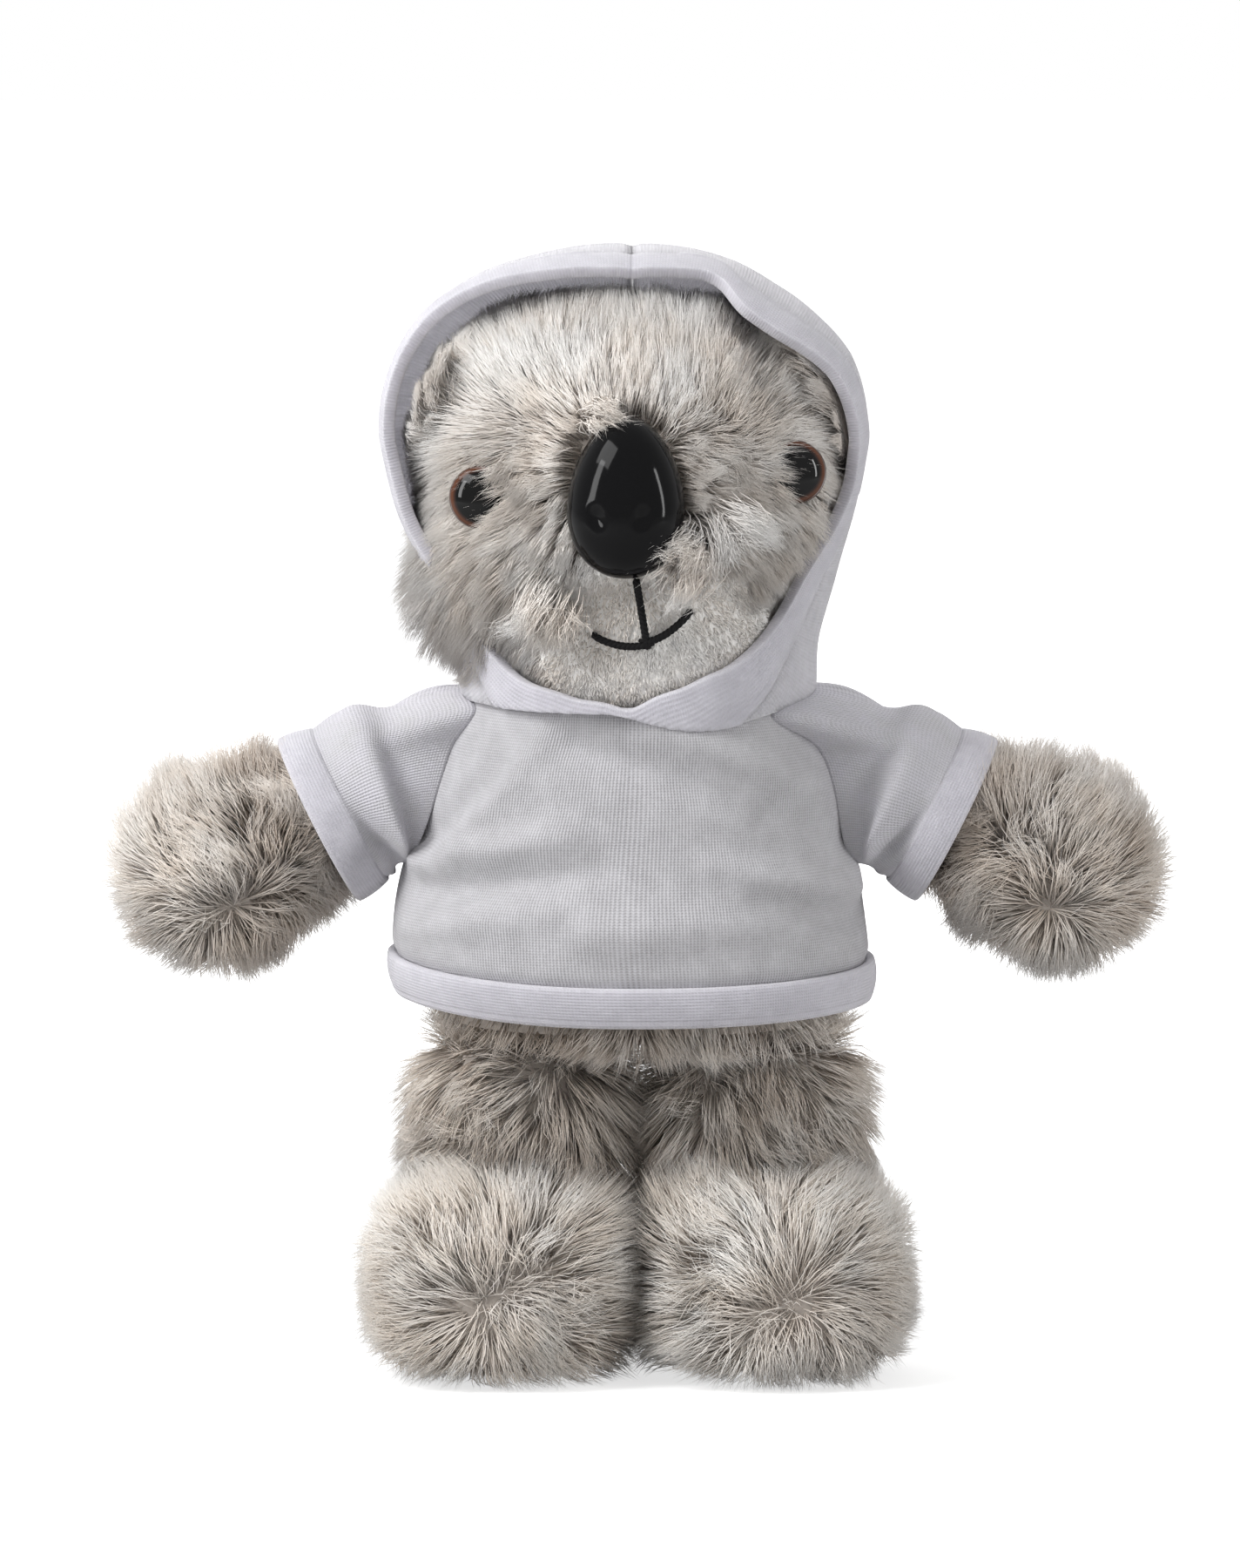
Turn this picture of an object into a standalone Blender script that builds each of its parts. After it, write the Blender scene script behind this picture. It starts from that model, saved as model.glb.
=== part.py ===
"""Plush koala in a white hooded shirt, standing and facing -Y, +Z up, in metres.

Left and right are the koala's own sides, so its left side is at +X. The origin is on the
floor, below the middle of the outline. Each fur skin is open where it is sewn to its
neighbour, and the stuffing inside it is a solid of its own. The head turns about the neck,
each arm about its shoulder and each leg about its hip.
"""

import math

import bmesh
import bpy
from mathutils import Matrix, Vector

# Clearances, fur and cloth
GAP = 0.0003
POCKET_GAP = 0.0004
PILE = 0.006
JERSEY = 0.0016
EASE = 0.0004
BAND_PROUD = 0.0005

# Feet and legs
FOOT_WIDTH = 0.0514
FOOT_LENGTH = 0.058
FOOT_HEIGHT = 0.041
FOOT_FORWARD = 0.009
FEET_APART = 0.0012
SOLE_CUT = 0.0005
LEG_WIDTH = 0.043
LEG_DEPTH = 0.038
LEGS_APART = 0.0012
LEG_TAPER = 0.0012
LEG_IN_FOOT = 0.011
HIP_HEIGHT = 0.052
HIP_TUCK = 0.001
HIP_OPENING = 0.75

# Torso, from the crotch up to the neck
CROTCH_RISE = 0.008
TORSO_HEIGHT = 0.069
SEAT_WIDTH = 0.081
SEAT_DEPTH = 0.060
SEAT_RISE = 0.005
BELLY_WIDTH = 0.085
BELLY_DEPTH = 0.064
BELLY_RISE = 0.018
CHEST_WIDTH = 0.079
CHEST_DEPTH = 0.061
CHEST_RISE = 0.040
SHOULDER_WIDTH = 0.071
SHOULDER_DEPTH = 0.060
SHOULDER_DROP = 0.014
NECK_WIDTH = 0.062
NECK_DEPTH = 0.057
NECK_OPENING = 0.010

# Arms
ARM_OUT = 0.002
ARM_DROOP = math.radians(27)
ARM_LENGTH = 0.066
ARM_ROOT_RADIUS = 0.0108
ARM_OPENING = 0.004
ARM_LOWERS = math.radians(8)
WRIST_RADIUS = 0.0144
WRIST_AT = 0.025
PAW_RADIUS = 0.0195
PAW_AT = 0.046
PAW_FLATTEN = 0.94

# Head
HEAD_WIDTH = 0.079
HEAD_FRONT = 0.036
HEAD_BACK = 0.038
HEAD_CROWN = 0.0495
HEAD_JOWL = 0.029
HEAD_SEAT = 0.002
HEAD_SET_BACK = 0.001
MUZZLE_RISE = 0.004
MUZZLE_HALF_WIDTH = 0.018
MUZZLE_HALF_HEIGHT = 0.020
MUZZLE_LIFT = 0.002
EAR_HEIGHT = 0.036
EAR_DEPTH = 0.032
EAR_THICKNESS = 0.019
EAR_LIFT = 0.027
EAR_LEAN = math.radians(24)

# Chin patch and mouth thread
PATCH_WIDTH = 0.042
PATCH_HEIGHT = 0.026
PATCH_DROP = 0.0145
PATCH_OFFSET = 0.003
THREAD_RADIUS = 0.0007
MOUTH_TOP = (-0.0003, -0.0040)
MOUTH_KNOT = (0.0018, -0.0154)
MOUTH_LEFT_END = (0.0098, -0.0097)
MOUTH_RIGHT_END = (-0.0082, -0.0141)
MOUTH_SAG = 0.0012

# Eyes and nose
EYE_DIAMETER = 0.012
EYE_DOME = 0.005
EYE_SPACING = 0.062
LEFT_EYE_LIFT = 0.0156
RIGHT_EYE_LIFT = 0.0109
EYE_STEM_RADIUS = 0.00175
EYE_WASHER_RADIUS = 0.0055
NOSE_WIDTH = 0.0216
NOSE_HEIGHT = 0.0304
NOSE_DOME = 0.0095
NOSE_LIFT = 0.0135
NOSE_OFFSET = -0.0023
NOSE_NARROWING = 0.16
NOSE_STEM_RADIUS = 0.0025
NOSE_WASHER_RADIUS = 0.008
SUNK = 0.002
WASHER_THICKNESS = 0.0015
WASHER_DEPTH = 0.0058
STEM_PAST_WASHER = 0.002

# Hood
HOOD_EAR_ROOM = 0.0065
HOOD_BACK_ROOM = 0.0065
HOOD_TOP_ROOM = 0.0075
HOOD_FRONT = 0.034
HOOD_LIFT = 0.020
RIM_AT_EARS = -0.011
RIM_TOP_REACH = 0.009
RIM_CHIN_REACH = 0.022
RIM_BAND = 0.0075
NOTCH_OFFSET = -0.0044
NOTCH_WIDTH = 0.0006

# Shirt
HEM_RISE = 0.0112
HEM_BAND = 0.0082
HEM_SAG = 0.003
HEM_PROUD = 0.0009
CUFF_BAND = 0.0074

# Roundness of the stuffed forms: 2 is an ellipse, and more is squarer
HEAD_ROUND = 2.2
CROWN_ROUND = 2.4
JOWL_ROUND = 2.2
HOOD_ROUND = 2.1
TORSO_ROUND = 2.3
SEAT_ROUND = 4.0
FOOT_ROUND = 2.5
INSTEP_ROUND = 2.4
SOLE_ROUND = 5.0
CHEEK_SWELL = 0.75

# Heights and places that follow from the sizes
LEG_X = (LEG_WIDTH + LEGS_APART) / 2
FOOT_X = (FOOT_WIDTH + FEET_APART) / 2
FOOT_MIDDLE = FOOT_HEIGHT / 2
LEG_END = FOOT_HEIGHT - LEG_IN_FOOT
TORSO_BOTTOM = HIP_HEIGHT + CROTCH_RISE
NECK = TORSO_BOTTOM + TORSO_HEIGHT
SHOULDER_Z = NECK - SHOULDER_DROP
HEAD_MIDDLE = NECK + HEAD_JOWL - HEAD_SEAT
HOOD_MIDDLE = HEAD_MIDDLE + HOOD_LIFT
HOOD_CROWN = HEAD_CROWN + HOOD_TOP_ROOM - HOOD_LIFT
CUFF_START = WRIST_AT - CUFF_BAND
SLEEVE_ROOM = EASE + JERSEY
FAR = 4 * TORSO_HEIGHT

# How finely the round forms are divided
HEAD_SIDES = 28
TORSO_SIDES = 28
LIMB_SIDES = 18
SMALL_SIDES = 16
POCKET_SIDES = 24
THREAD_POINTS = 7
RIM_STEPS = 24


def superellipse(turn, power):
    """The point of a unit superellipse at this turn."""
    c, s = math.cos(turn), math.sin(turn)
    x = math.copysign(abs(c) ** (2 / power), c)
    y = math.copysign(abs(s) ** (2 / power), s)
    return x, y


def level_ring(middle, half_width, front, back, power, count):
    """A level ring of points, with its own depth in front of and behind its middle."""
    points = []
    for i in range(count):
        x, y = superellipse(math.tau * i / count, power)
        depth = back if y > 0 else front
        points.append(middle + Vector((half_width * x, depth * y, 0)))
    return points


def swell(height, middle, up, down, power_up, power_down):
    """How wide a stuffed form is at this height: 1 at its middle and 0 at its poles."""
    if height > middle:
        share, power = (height - middle) / up, power_up
    else:
        share, power = (middle - height) / down, power_down
    return (1 - min(share, 1) ** power) ** (1 / power)


def levels(middle, up, down, power_up, power_down, low, high, count):
    """Heights from low to high that lie closer together towards the poles."""

    def angle(height):
        if height > middle:
            return math.asin(min((height - middle) / up, 1) ** (power_up / 2))
        return -math.asin(min((middle - height) / down, 1) ** (power_down / 2))

    first, last = angle(low), angle(high)
    heights = []
    for i in range(count):
        at = first + (last - first) * i / (count - 1)
        if at > 0:
            heights.append(middle + up * math.sin(at) ** (2 / power_up))
        else:
            heights.append(middle - down * math.sin(-at) ** (2 / power_down))
    return heights


def through(stations, at):
    """The smooth curve through the (place, value) stations, straight past its ends."""
    slopes = []
    last = len(stations) - 1
    for i in range(last + 1):
        a, b = stations[max(i - 1, 0)], stations[min(i + 1, last)]
        slopes.append((b[1] - a[1]) / (b[0] - a[0]))
    if at <= stations[0][0]:
        return stations[0][1] + slopes[0] * (at - stations[0][0])
    if at >= stations[last][0]:
        return stations[last][1] + slopes[last] * (at - stations[last][0])
    i = max(k for k in range(last) if stations[k][0] <= at)
    (start, value), (end, next_value) = stations[i], stations[i + 1]
    width = end - start
    t = (at - start) / width
    return (
        value * (2 * t**3 - 3 * t**2 + 1)
        + next_value * (3 * t**2 - 2 * t**3)
        + slopes[i] * width * (t**3 - 2 * t**2 + t)
        + slopes[i + 1] * width * (t**3 - t**2)
    )


def loft(rings, closed=False):
    """A skin over rings of equal count. A ring of one point is a pole, an end ring without
    one is closed flat, and closed joins the last ring to the first."""
    bm = bmesh.new()
    rows = [[bm.verts.new(point) for point in ring] for ring in rings]
    pairs = list(zip(rows, rows[1:]))
    if closed:
        pairs.append((rows[-1], rows[0]))
    for low, high in pairs:
        count = max(len(low), len(high))
        for i in range(count):
            j = (i + 1) % count
            if len(low) == 1:
                bm.faces.new((low[0], high[j], high[i]))
            elif len(high) == 1:
                bm.faces.new((low[i], low[j], high[0]))
            else:
                bm.faces.new((low[i], low[j], high[j], high[i]))
    if not closed:
        for row in (rows[0], rows[-1]):
            if len(row) > 1:
                bm.faces.new(row)
    bmesh.ops.recalc_face_normals(bm, faces=bm.faces)
    return bm


def turned(profile, sides):
    """A solid turned about +Z from (radius, height) pairs that start and end on the axis."""
    bm = bmesh.new()
    points = [bm.verts.new((radius, 0, height)) for radius, height in profile]
    edges = [bm.edges.new(pair) for pair in zip(points, points[1:])]
    bmesh.ops.spin(
        bm,
        geom=points + edges,
        cent=(0, 0, 0),
        axis=(0, 0, 1),
        angle=math.tau,
        steps=sides,
        use_merge=True,
    )
    bmesh.ops.remove_doubles(bm, verts=bm.verts, dist=1e-6)
    bmesh.ops.recalc_face_normals(bm, faces=bm.faces)
    return bm


def ball(middle, half_sizes, sides):
    """An ellipsoid with its poles up and down."""
    bm = bmesh.new()
    bmesh.ops.create_uvsphere(bm, u_segments=sides, v_segments=sides // 2, radius=1)
    bmesh.ops.scale(bm, vec=half_sizes, verts=bm.verts)
    bmesh.ops.translate(bm, vec=middle, verts=bm.verts)
    return bm


def box(low, high):
    bm = bmesh.new()
    bmesh.ops.create_cube(bm, size=1)
    low, high = Vector(low), Vector(high)
    bmesh.ops.scale(bm, vec=high - low, verts=bm.verts)
    bmesh.ops.translate(bm, vec=(low + high) / 2, verts=bm.verts)
    return bm


def prism(outline, half_width):
    """The (y, z) outline drawn out along X, to both sides of the middle."""
    bm = bmesh.new()
    face = bm.faces.new([bm.verts.new((-half_width, y, z)) for y, z in outline])
    grown = bmesh.ops.extrude_face_region(bm, geom=[face])
    moved = [g for g in grown["geom"] if isinstance(g, bmesh.types.BMVert)]
    bmesh.ops.translate(bm, vec=(2 * half_width, 0, 0), verts=moved)
    bmesh.ops.recalc_face_normals(bm, faces=bm.faces)
    return bm


def material(name, colour, roughness):
    made = bpy.data.materials.new(name)
    made.use_nodes = True
    shader = made.node_tree.nodes["Principled BSDF"]
    shader.inputs["Base Color"].default_value = (*colour, 1)
    shader.inputs["Roughness"].default_value = roughness
    shader.inputs["Metallic"].default_value = 0
    return made


def pivot(name, place):
    empty = bpy.data.objects.new(name, None)
    empty.location = place
    bpy.context.scene.collection.objects.link(empty)
    return empty


def add(name, bm, finish=None, carrier=None):
    """An object from a bmesh. Its origin is on its carrier, which is its joint's pivot."""
    mesh = bpy.data.meshes.new(name)
    bm.to_mesh(mesh)
    bm.free()
    thing = bpy.data.objects.new(name, mesh)
    bpy.context.scene.collection.objects.link(thing)
    if finish is not None:
        mesh.materials.append(finish)
        mesh.shade_smooth()
        mesh.set_sharp_from_angle(angle=math.radians(40))
    if carrier is not None:
        mesh.transform(Matrix.Translation(-carrier.location))
        thing.parent = carrier
    return thing


def cutter(name, bm):
    thing = add("cut_" + name, bm)
    thing.hide_render = True
    thing.display_type = "WIRE"
    return thing


def cut(thing, *tools, operation="DIFFERENCE"):
    for tool in tools:
        modifier = thing.modifiers.new(tool.name, "BOOLEAN")
        modifier.operation = operation
        modifier.solver = "EXACT"
        modifier.object = tool


# Torso and what follows its outline


def torso_half(height):
    """Half the width and half the depth of the torso at this height."""
    widths = (
        (TORSO_BOTTOM + SEAT_RISE, SEAT_WIDTH / 2),
        (TORSO_BOTTOM + BELLY_RISE, BELLY_WIDTH / 2),
        (TORSO_BOTTOM + CHEST_RISE, CHEST_WIDTH / 2),
        (SHOULDER_Z, SHOULDER_WIDTH / 2),
        (NECK, NECK_WIDTH / 2),
    )
    depths = (
        (TORSO_BOTTOM + SEAT_RISE, SEAT_DEPTH / 2),
        (TORSO_BOTTOM + BELLY_RISE, BELLY_DEPTH / 2),
        (TORSO_BOTTOM + CHEST_RISE, CHEST_DEPTH / 2),
        (SHOULDER_Z, SHOULDER_DEPTH / 2),
        (NECK, NECK_DEPTH / 2),
    )
    return through(widths, height), through(depths, height)


def torso_ring(height, offset=0.0, sag=0.0):
    """A ring round the torso, this far outside it, that hangs lower in front by sag."""
    points = []
    for i in range(TORSO_SIDES):
        x, y = superellipse(math.tau * i / TORSO_SIDES, TORSO_ROUND)
        z = height - sag * min(y, 0) ** 2
        half_width, half_depth = torso_half(z)
        points.append(Vector(((half_width + offset) * x, (half_depth + offset) * y, z)))
    return points


def seat_rings(inset):
    """The rounded underside of the torso, from its pole up to the seat."""
    bottom, seat = TORSO_BOTTOM + inset, TORSO_BOTTOM + SEAT_RISE + inset
    half_width, half_depth = torso_half(seat)
    rings = [[Vector((0, 0, bottom))]]
    for i in range(1, 4):
        turn = math.pi / 2 * i / 3
        share = math.sin(turn) ** (2 / SEAT_ROUND)
        height = seat - (seat - bottom) * math.cos(turn) ** (2 / SEAT_ROUND)
        middle = Vector((0, 0, height))
        width, depth = (half_width - inset) * share, (half_depth - inset) * share
        rings.append(level_ring(middle, width, depth, depth, TORSO_ROUND, TORSO_SIDES))
    return rings


def torso_rings(inset, top, count):
    rings = seat_rings(inset)
    seat = TORSO_BOTTOM + SEAT_RISE + inset
    for i in range(1, count + 1):
        rings.append(torso_ring(seat + (top - seat) * i / count, -inset))
    return rings


def neck_ring(height, radius):
    return level_ring(Vector((0, 0, height)), radius, radius, radius, 2, TORSO_SIDES)


def hip_pocket(side):
    half = (
        LEG_WIDTH / 2 - HIP_TUCK + POCKET_GAP,
        LEG_DEPTH / 2 + POCKET_GAP,
        LEG_DEPTH / 2 + POCKET_GAP,
    )
    return ball(Vector((side * LEG_X, 0, HIP_HEIGHT)), half, POCKET_SIDES)


def shoulder_place(side):
    return Vector((side * (torso_half(SHOULDER_Z)[0] + ARM_OUT), 0, SHOULDER_Z))


def shoulder_pocket(side):
    radius = ARM_ROOT_RADIUS + POCKET_GAP
    return ball(shoulder_place(side), (radius, radius, radius), POCKET_SIDES)


def make_torso(fur, filling, pockets):
    top = NECK - GAP / 2
    ceiling = top - PILE
    outside = torso_rings(0, top, 7)
    inside = torso_rings(PILE, ceiling, 4)
    rings = outside + [neck_ring(top, NECK_OPENING), neck_ring(ceiling, NECK_OPENING)]
    torso = add("torso", loft(rings + inside[::-1]), fur)
    cut(torso, *pockets)
    plug = NECK_OPENING - GAP
    rings = torso_rings(PILE + GAP, ceiling - GAP, 4)
    rings += [neck_ring(ceiling - GAP, plug), neck_ring(top, plug)]
    stuffing = add("torso_stuffing", loft(rings), filling)
    cut(stuffing, *pockets)


# Legs and feet


def leg_ring(side, height, grow=0.0):
    """A level ring of a leg at or below the height of its hip."""
    fall = (HIP_HEIGHT - height) / (HIP_HEIGHT - LEG_END)
    half_width = LEG_WIDTH / 2 - HIP_TUCK * (1 - min(2 * fall, 1)) - LEG_TAPER * fall + grow
    half_depth = LEG_DEPTH / 2 - LEG_TAPER * fall + grow
    middle = Vector((side * LEG_X, 0, height))
    return level_ring(middle, half_width, half_depth, half_depth, 2, LIMB_SIDES)


def dome_ring(side, share):
    """A ring of the leg's domed top, which is this share as wide as the leg at its hip."""
    half_width, half_depth = share * (LEG_WIDTH / 2 - HIP_TUCK), share * LEG_DEPTH / 2
    rise = LEG_DEPTH / 2 * math.sqrt(1 - share**2)
    middle = Vector((side * LEG_X, 0, HIP_HEIGHT + rise))
    return level_ring(middle, half_width, half_depth, half_depth, 2, LIMB_SIDES)


def column_ring(side, height, inset):
    """A ring of the straight hollow that runs down inside a leg's skin."""
    half_width, half_depth = LEG_WIDTH / 2 - HIP_TUCK - inset, LEG_DEPTH / 2 - inset
    middle = Vector((side * LEG_X, 0, height))
    return level_ring(middle, half_width, half_depth, half_depth, 2, LIMB_SIDES)


def make_leg(side, label, fur, filling, carrier):
    lip = HIP_HEIGHT + LEG_DEPTH / 2 * math.sqrt(1 - HIP_OPENING**2)
    wall = PILE + LEG_TAPER
    outside = [dome_ring(side, share) for share in (HIP_OPENING, 0.88, 0.97)]
    for step in range(4):
        outside.append(leg_ring(side, HIP_HEIGHT - (HIP_HEIGHT - LEG_END) * step / 3))
    inside = [column_ring(side, height, wall) for height in (LEG_END, lip)]
    add(label + "_leg", loft(outside + inside, closed=True), fur, carrier)
    rings = [column_ring(side, height, wall + GAP) for height in (LEG_END, lip)]
    rings += [dome_ring(side, share) for share in (0.5, 0.25)]
    rings.append([Vector((side * LEG_X, 0, HIP_HEIGHT + LEG_DEPTH / 2))])
    add(label + "_leg_stuffing", loft(rings), filling, carrier)


def foot_rings(side, inset):
    """Level rings of a foot from its flat sole, or its inner floor, up to its top."""
    half_width, half_length = FOOT_WIDTH / 2 - inset, FOOT_LENGTH / 2 - inset
    up, down = FOOT_HEIGHT - FOOT_MIDDLE - inset, FOOT_MIDDLE + SOLE_CUT - inset
    shape = (FOOT_MIDDLE, up, down, INSTEP_ROUND, SOLE_ROUND)
    top = FOOT_MIDDLE + up
    rings = []
    for height in levels(*shape, inset, top, 9)[:-1]:
        share = swell(height, *shape)
        middle = Vector((side * FOOT_X, -FOOT_FORWARD, height))
        width, length = half_width * share, half_length * share
        rings.append(level_ring(middle, width, length, length, FOOT_ROUND, LIMB_SIDES))
    rings.append([Vector((side * FOOT_X, -FOOT_FORWARD, top))])
    return rings


def make_foot(side, label, fur, filling, carrier):
    heights = (HIP_HEIGHT, (HIP_HEIGHT + LEG_END) / 2, LEG_END)
    rings = [leg_ring(side, height, GAP) for height in heights]
    for point in rings[-1]:
        point.z -= GAP
    seat = cutter(label + "_leg_seat", loft(rings))
    hollow = cutter(label + "_foot_hollow", loft(foot_rings(side, PILE)))
    cut(add(label + "_foot", loft(foot_rings(side, 0)), fur, carrier), hollow, seat)
    stuffing = loft(foot_rings(side, PILE + GAP))
    cut(add(label + "_foot_stuffing", stuffing, filling, carrier), seat)


# Arms, sleeves and cuffs


def arm_radius(t, inset=0.0):
    """The arm's radius at this distance along it from the shoulder's centre."""
    if t > PAW_AT:
        share = min((t - PAW_AT) / (ARM_LENGTH - PAW_AT - inset), 1)
        return (PAW_RADIUS - inset) * math.sqrt(1 - share**2)
    stations = ((0, ARM_ROOT_RADIUS), (WRIST_AT, WRIST_RADIUS), (PAW_AT, PAW_RADIUS))
    return through(stations, max(t, 0)) - inset


def arm_ring(side, t, radius, lean=ARM_DROOP, level=False):
    """A ring round the arm's line, leant by the arm's droop or less. A level one follows
    the line that runs level into the body."""
    droop = 0 if level else ARM_DROOP
    middle = shoulder_place(side)
    middle += Vector((side * math.cos(droop), 0, -math.sin(droop))) * t
    up = Vector((side * math.sin(lean), 0, math.cos(lean))) / math.cos(ARM_DROOP - lean)
    flatten = 1 - (1 - PAW_FLATTEN) * min(max((t - WRIST_AT) / (PAW_AT - WRIST_AT), 0), 1)
    ring = []
    for i in range(LIMB_SIDES):
        turn = math.tau * i / LIMB_SIDES
        depth = Vector((0, radius * flatten * math.cos(turn), 0))
        ring.append(middle + up * radius * math.sin(turn) + depth)
    return ring


def arm_inside(side, root, opening, inset):
    """Rings of the hollow in an arm, or of its stuffing, from its opening to its tip."""
    reach = ARM_LENGTH - PAW_AT - inset
    rings = [arm_ring(side, root, opening)]
    for t in (0, WRIST_AT, PAW_AT, PAW_AT + 0.5 * reach, PAW_AT + 0.87 * reach):
        rings.append(arm_ring(side, t, arm_radius(t, inset)))
    rings.append([arm_tip(side, ARM_LENGTH - inset)])
    return rings


def arm_tip(side, t):
    along = Vector((side * math.cos(ARM_DROOP), 0, -math.sin(ARM_DROOP)))
    return shoulder_place(side) + along * t


def armhole(side):
    """The room for an arm in the shirt and torso, also when it is lowered to its limit."""
    rings = []
    shift = ARM_ROOT_RADIUS * math.sin(ARM_LOWERS)
    for share in (0, 0.33, 0.67, 1):
        t = share * CUFF_START
        radius = arm_radius(t + shift) / math.cos(ARM_LOWERS) + t * math.tan(ARM_LOWERS)
        rings.append(arm_ring(side, t, radius + POCKET_GAP))
    return loft(rings)


def make_arm(side, label, fur, filling, carrier):
    lip = 2 * ARM_OPENING
    root = -math.sqrt(ARM_ROOT_RADIUS**2 - lip**2)
    outside = []
    for share in (1, 0.5):
        radius = math.sqrt(ARM_ROOT_RADIUS**2 - (root * share) ** 2)
        outside.append(arm_ring(side, root * share, radius))
    for t in (0, 0.5 * WRIST_AT, WRIST_AT, (WRIST_AT + PAW_AT) / 2, PAW_AT):
        outside.append(arm_ring(side, t, arm_radius(t)))
    for turn in (0.3, 0.6, 0.85):
        t = PAW_AT + (ARM_LENGTH - PAW_AT) * math.sin(turn * math.pi / 2)
        outside.append(arm_ring(side, t, arm_radius(t)))
    outside.append([arm_tip(side, ARM_LENGTH)])
    inside = arm_inside(side, root, ARM_OPENING, PILE)
    add(label + "_arm", loft(outside[::-1] + inside), fur, carrier)
    stuffing = arm_inside(side, root, ARM_OPENING - GAP, PILE + GAP)
    add(label + "_arm_stuffing", loft(stuffing), filling, carrier)


def sleeve_rings(side, offset, end):
    """Rings of the sleeve from inside the body out to the cuff. They stand upright at the
    body, where the sleeve is sewn on, and lean with the arm at the cuff."""
    rings = [arm_ring(side, -CUFF_START, arm_radius(0) + offset, 0, level=True)]
    for step in range(5):
        t = end * step / 4
        lean = ARM_DROOP * min(2 * t / WRIST_AT, 1)
        rings.append(arm_ring(side, t, arm_radius(t) + offset, lean))
    return rings


def make_sleeve(side, label, jersey, ribbed, body_form, carrier):
    end = CUFF_START - GAP
    outside = sleeve_rings(side, SLEEVE_ROOM, end)
    inside = sleeve_rings(side, EASE, end)
    cut(add(label + "_sleeve", loft(outside + inside[::-1], closed=True), jersey), body_form)
    rings = []
    for offset, ends in (
        (SLEEVE_ROOM + BAND_PROUD, (CUFF_START, WRIST_AT)),
        (EASE, (WRIST_AT, CUFF_START)),
    ):
        rings += [arm_ring(side, t, arm_radius(t) + offset) for t in ends]
    add(label + "_cuff", loft(rings, closed=True), ribbed, carrier)


# Shirt


def make_shirt(jersey, ribbed, armholes):
    hem_top = TORSO_BOTTOM + HEM_RISE + HEM_BAND
    top = NECK - GAP / 2
    outside, inside = [], []
    steps = 6
    for step in range(steps + 1):
        height = hem_top + GAP + (top - hem_top - GAP) * step / steps
        sag = HEM_SAG * (1 - step / steps) ** 2
        outside.append(torso_ring(height, SLEEVE_ROOM, sag))
        inside.append(torso_ring(height, EASE, sag))
    low, high = (-FAR, -FAR, -FAR), (FAR, FAR, FAR)
    behind = cutter("behind", box((-FAR, -GAP / 2, -FAR), high))
    ahead = cutter("ahead", box(low, (FAR, GAP / 2, FAR)))
    for name, other in (("shirt_front", behind), ("shirt_back", ahead)):
        cloth = loft(outside + inside[::-1], closed=True)
        cut(add(name, cloth, jersey), other, *armholes)
    hem_bottom = hem_top - HEM_BAND
    rings = [
        torso_ring(hem_bottom, SLEEVE_ROOM + HEM_PROUD, HEM_SAG),
        torso_ring(hem_top, SLEEVE_ROOM + BAND_PROUD, HEM_SAG),
        torso_ring(hem_top, EASE, HEM_SAG),
        torso_ring(hem_bottom, EASE, HEM_SAG),
    ]
    add("hem_band", loft(rings, closed=True), ribbed)


def shirt_form():
    """The space inside a sleeve's seam: the whole outside of the shirt, past both ends."""
    rings = []
    for step in range(7):
        height = TORSO_BOTTOM + (NECK - TORSO_BOTTOM) * step / 6
        rings.append(torso_ring(height, SLEEVE_ROOM + GAP))
    above = [point + Vector((0, 0, SHOULDER_DROP)) for point in rings[-1]]
    return loft(rings + [above])


# Head


def head_section(height, inset):
    """Half the width, the depth in front and the depth behind of the head at a height."""
    up, down = HEAD_CROWN - inset, HEAD_JOWL - inset
    share = swell(height, HEAD_MIDDLE, up, down, CROWN_ROUND, JOWL_ROUND)
    return [(size - inset) * share for size in (HEAD_WIDTH / 2, HEAD_FRONT, HEAD_BACK)]


def muzzle(x, z):
    """How far the muzzle stands out here from the round of the head."""
    across = x / MUZZLE_HALF_WIDTH
    up = (z - HEAD_MIDDLE - MUZZLE_LIFT) / MUZZLE_HALF_HEIGHT
    return MUZZLE_RISE * math.exp(-(across**2) - up**2)


def head_rings(inset, low, count):
    """Level rings of the head from this height up to the top of its crown."""
    up, down = HEAD_CROWN - inset, HEAD_JOWL - inset
    shape = (HEAD_MIDDLE, up, down, CROWN_ROUND, JOWL_ROUND)
    rings = []
    for height in levels(*shape, low, HEAD_MIDDLE + up, count)[:-1]:
        width, front, back = head_section(height, inset)
        middle = Vector((0, HEAD_SET_BACK, height))
        ring = level_ring(middle, width, front, back, HEAD_ROUND, HEAD_SIDES)
        for point in ring:
            ahead = max(0, (HEAD_SET_BACK - point.y) / front)
            point.y -= muzzle(point.x, point.z) * ahead**2
        rings.append(ring)
    rings.append([Vector((0, HEAD_SET_BACK, HEAD_MIDDLE + up))])
    return rings


def face_point(x, z):
    """The point on the outside of the face at this x and z."""
    width, front, _ = head_section(z, 0)
    ahead = (1 - min(abs(x) / width, 1) ** HEAD_ROUND) ** (1 / HEAD_ROUND)
    return Vector((x, HEAD_SET_BACK - front * ahead - muzzle(x, z) * ahead**2, z))


def face_frame(x, z, reach):
    """A matrix at the face whose Z points out of it and whose Y points up along it."""
    across = face_point(x + reach, z) - face_point(x - reach, z)
    upward = face_point(x, z + reach) - face_point(x, z - reach)
    out = across.cross(upward).normalized()
    across.normalize()
    up = out.cross(across)
    turn = Matrix((across, up, out)).transposed().to_4x4()
    return Matrix.Translation(face_point(x, z)) @ turn


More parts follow.
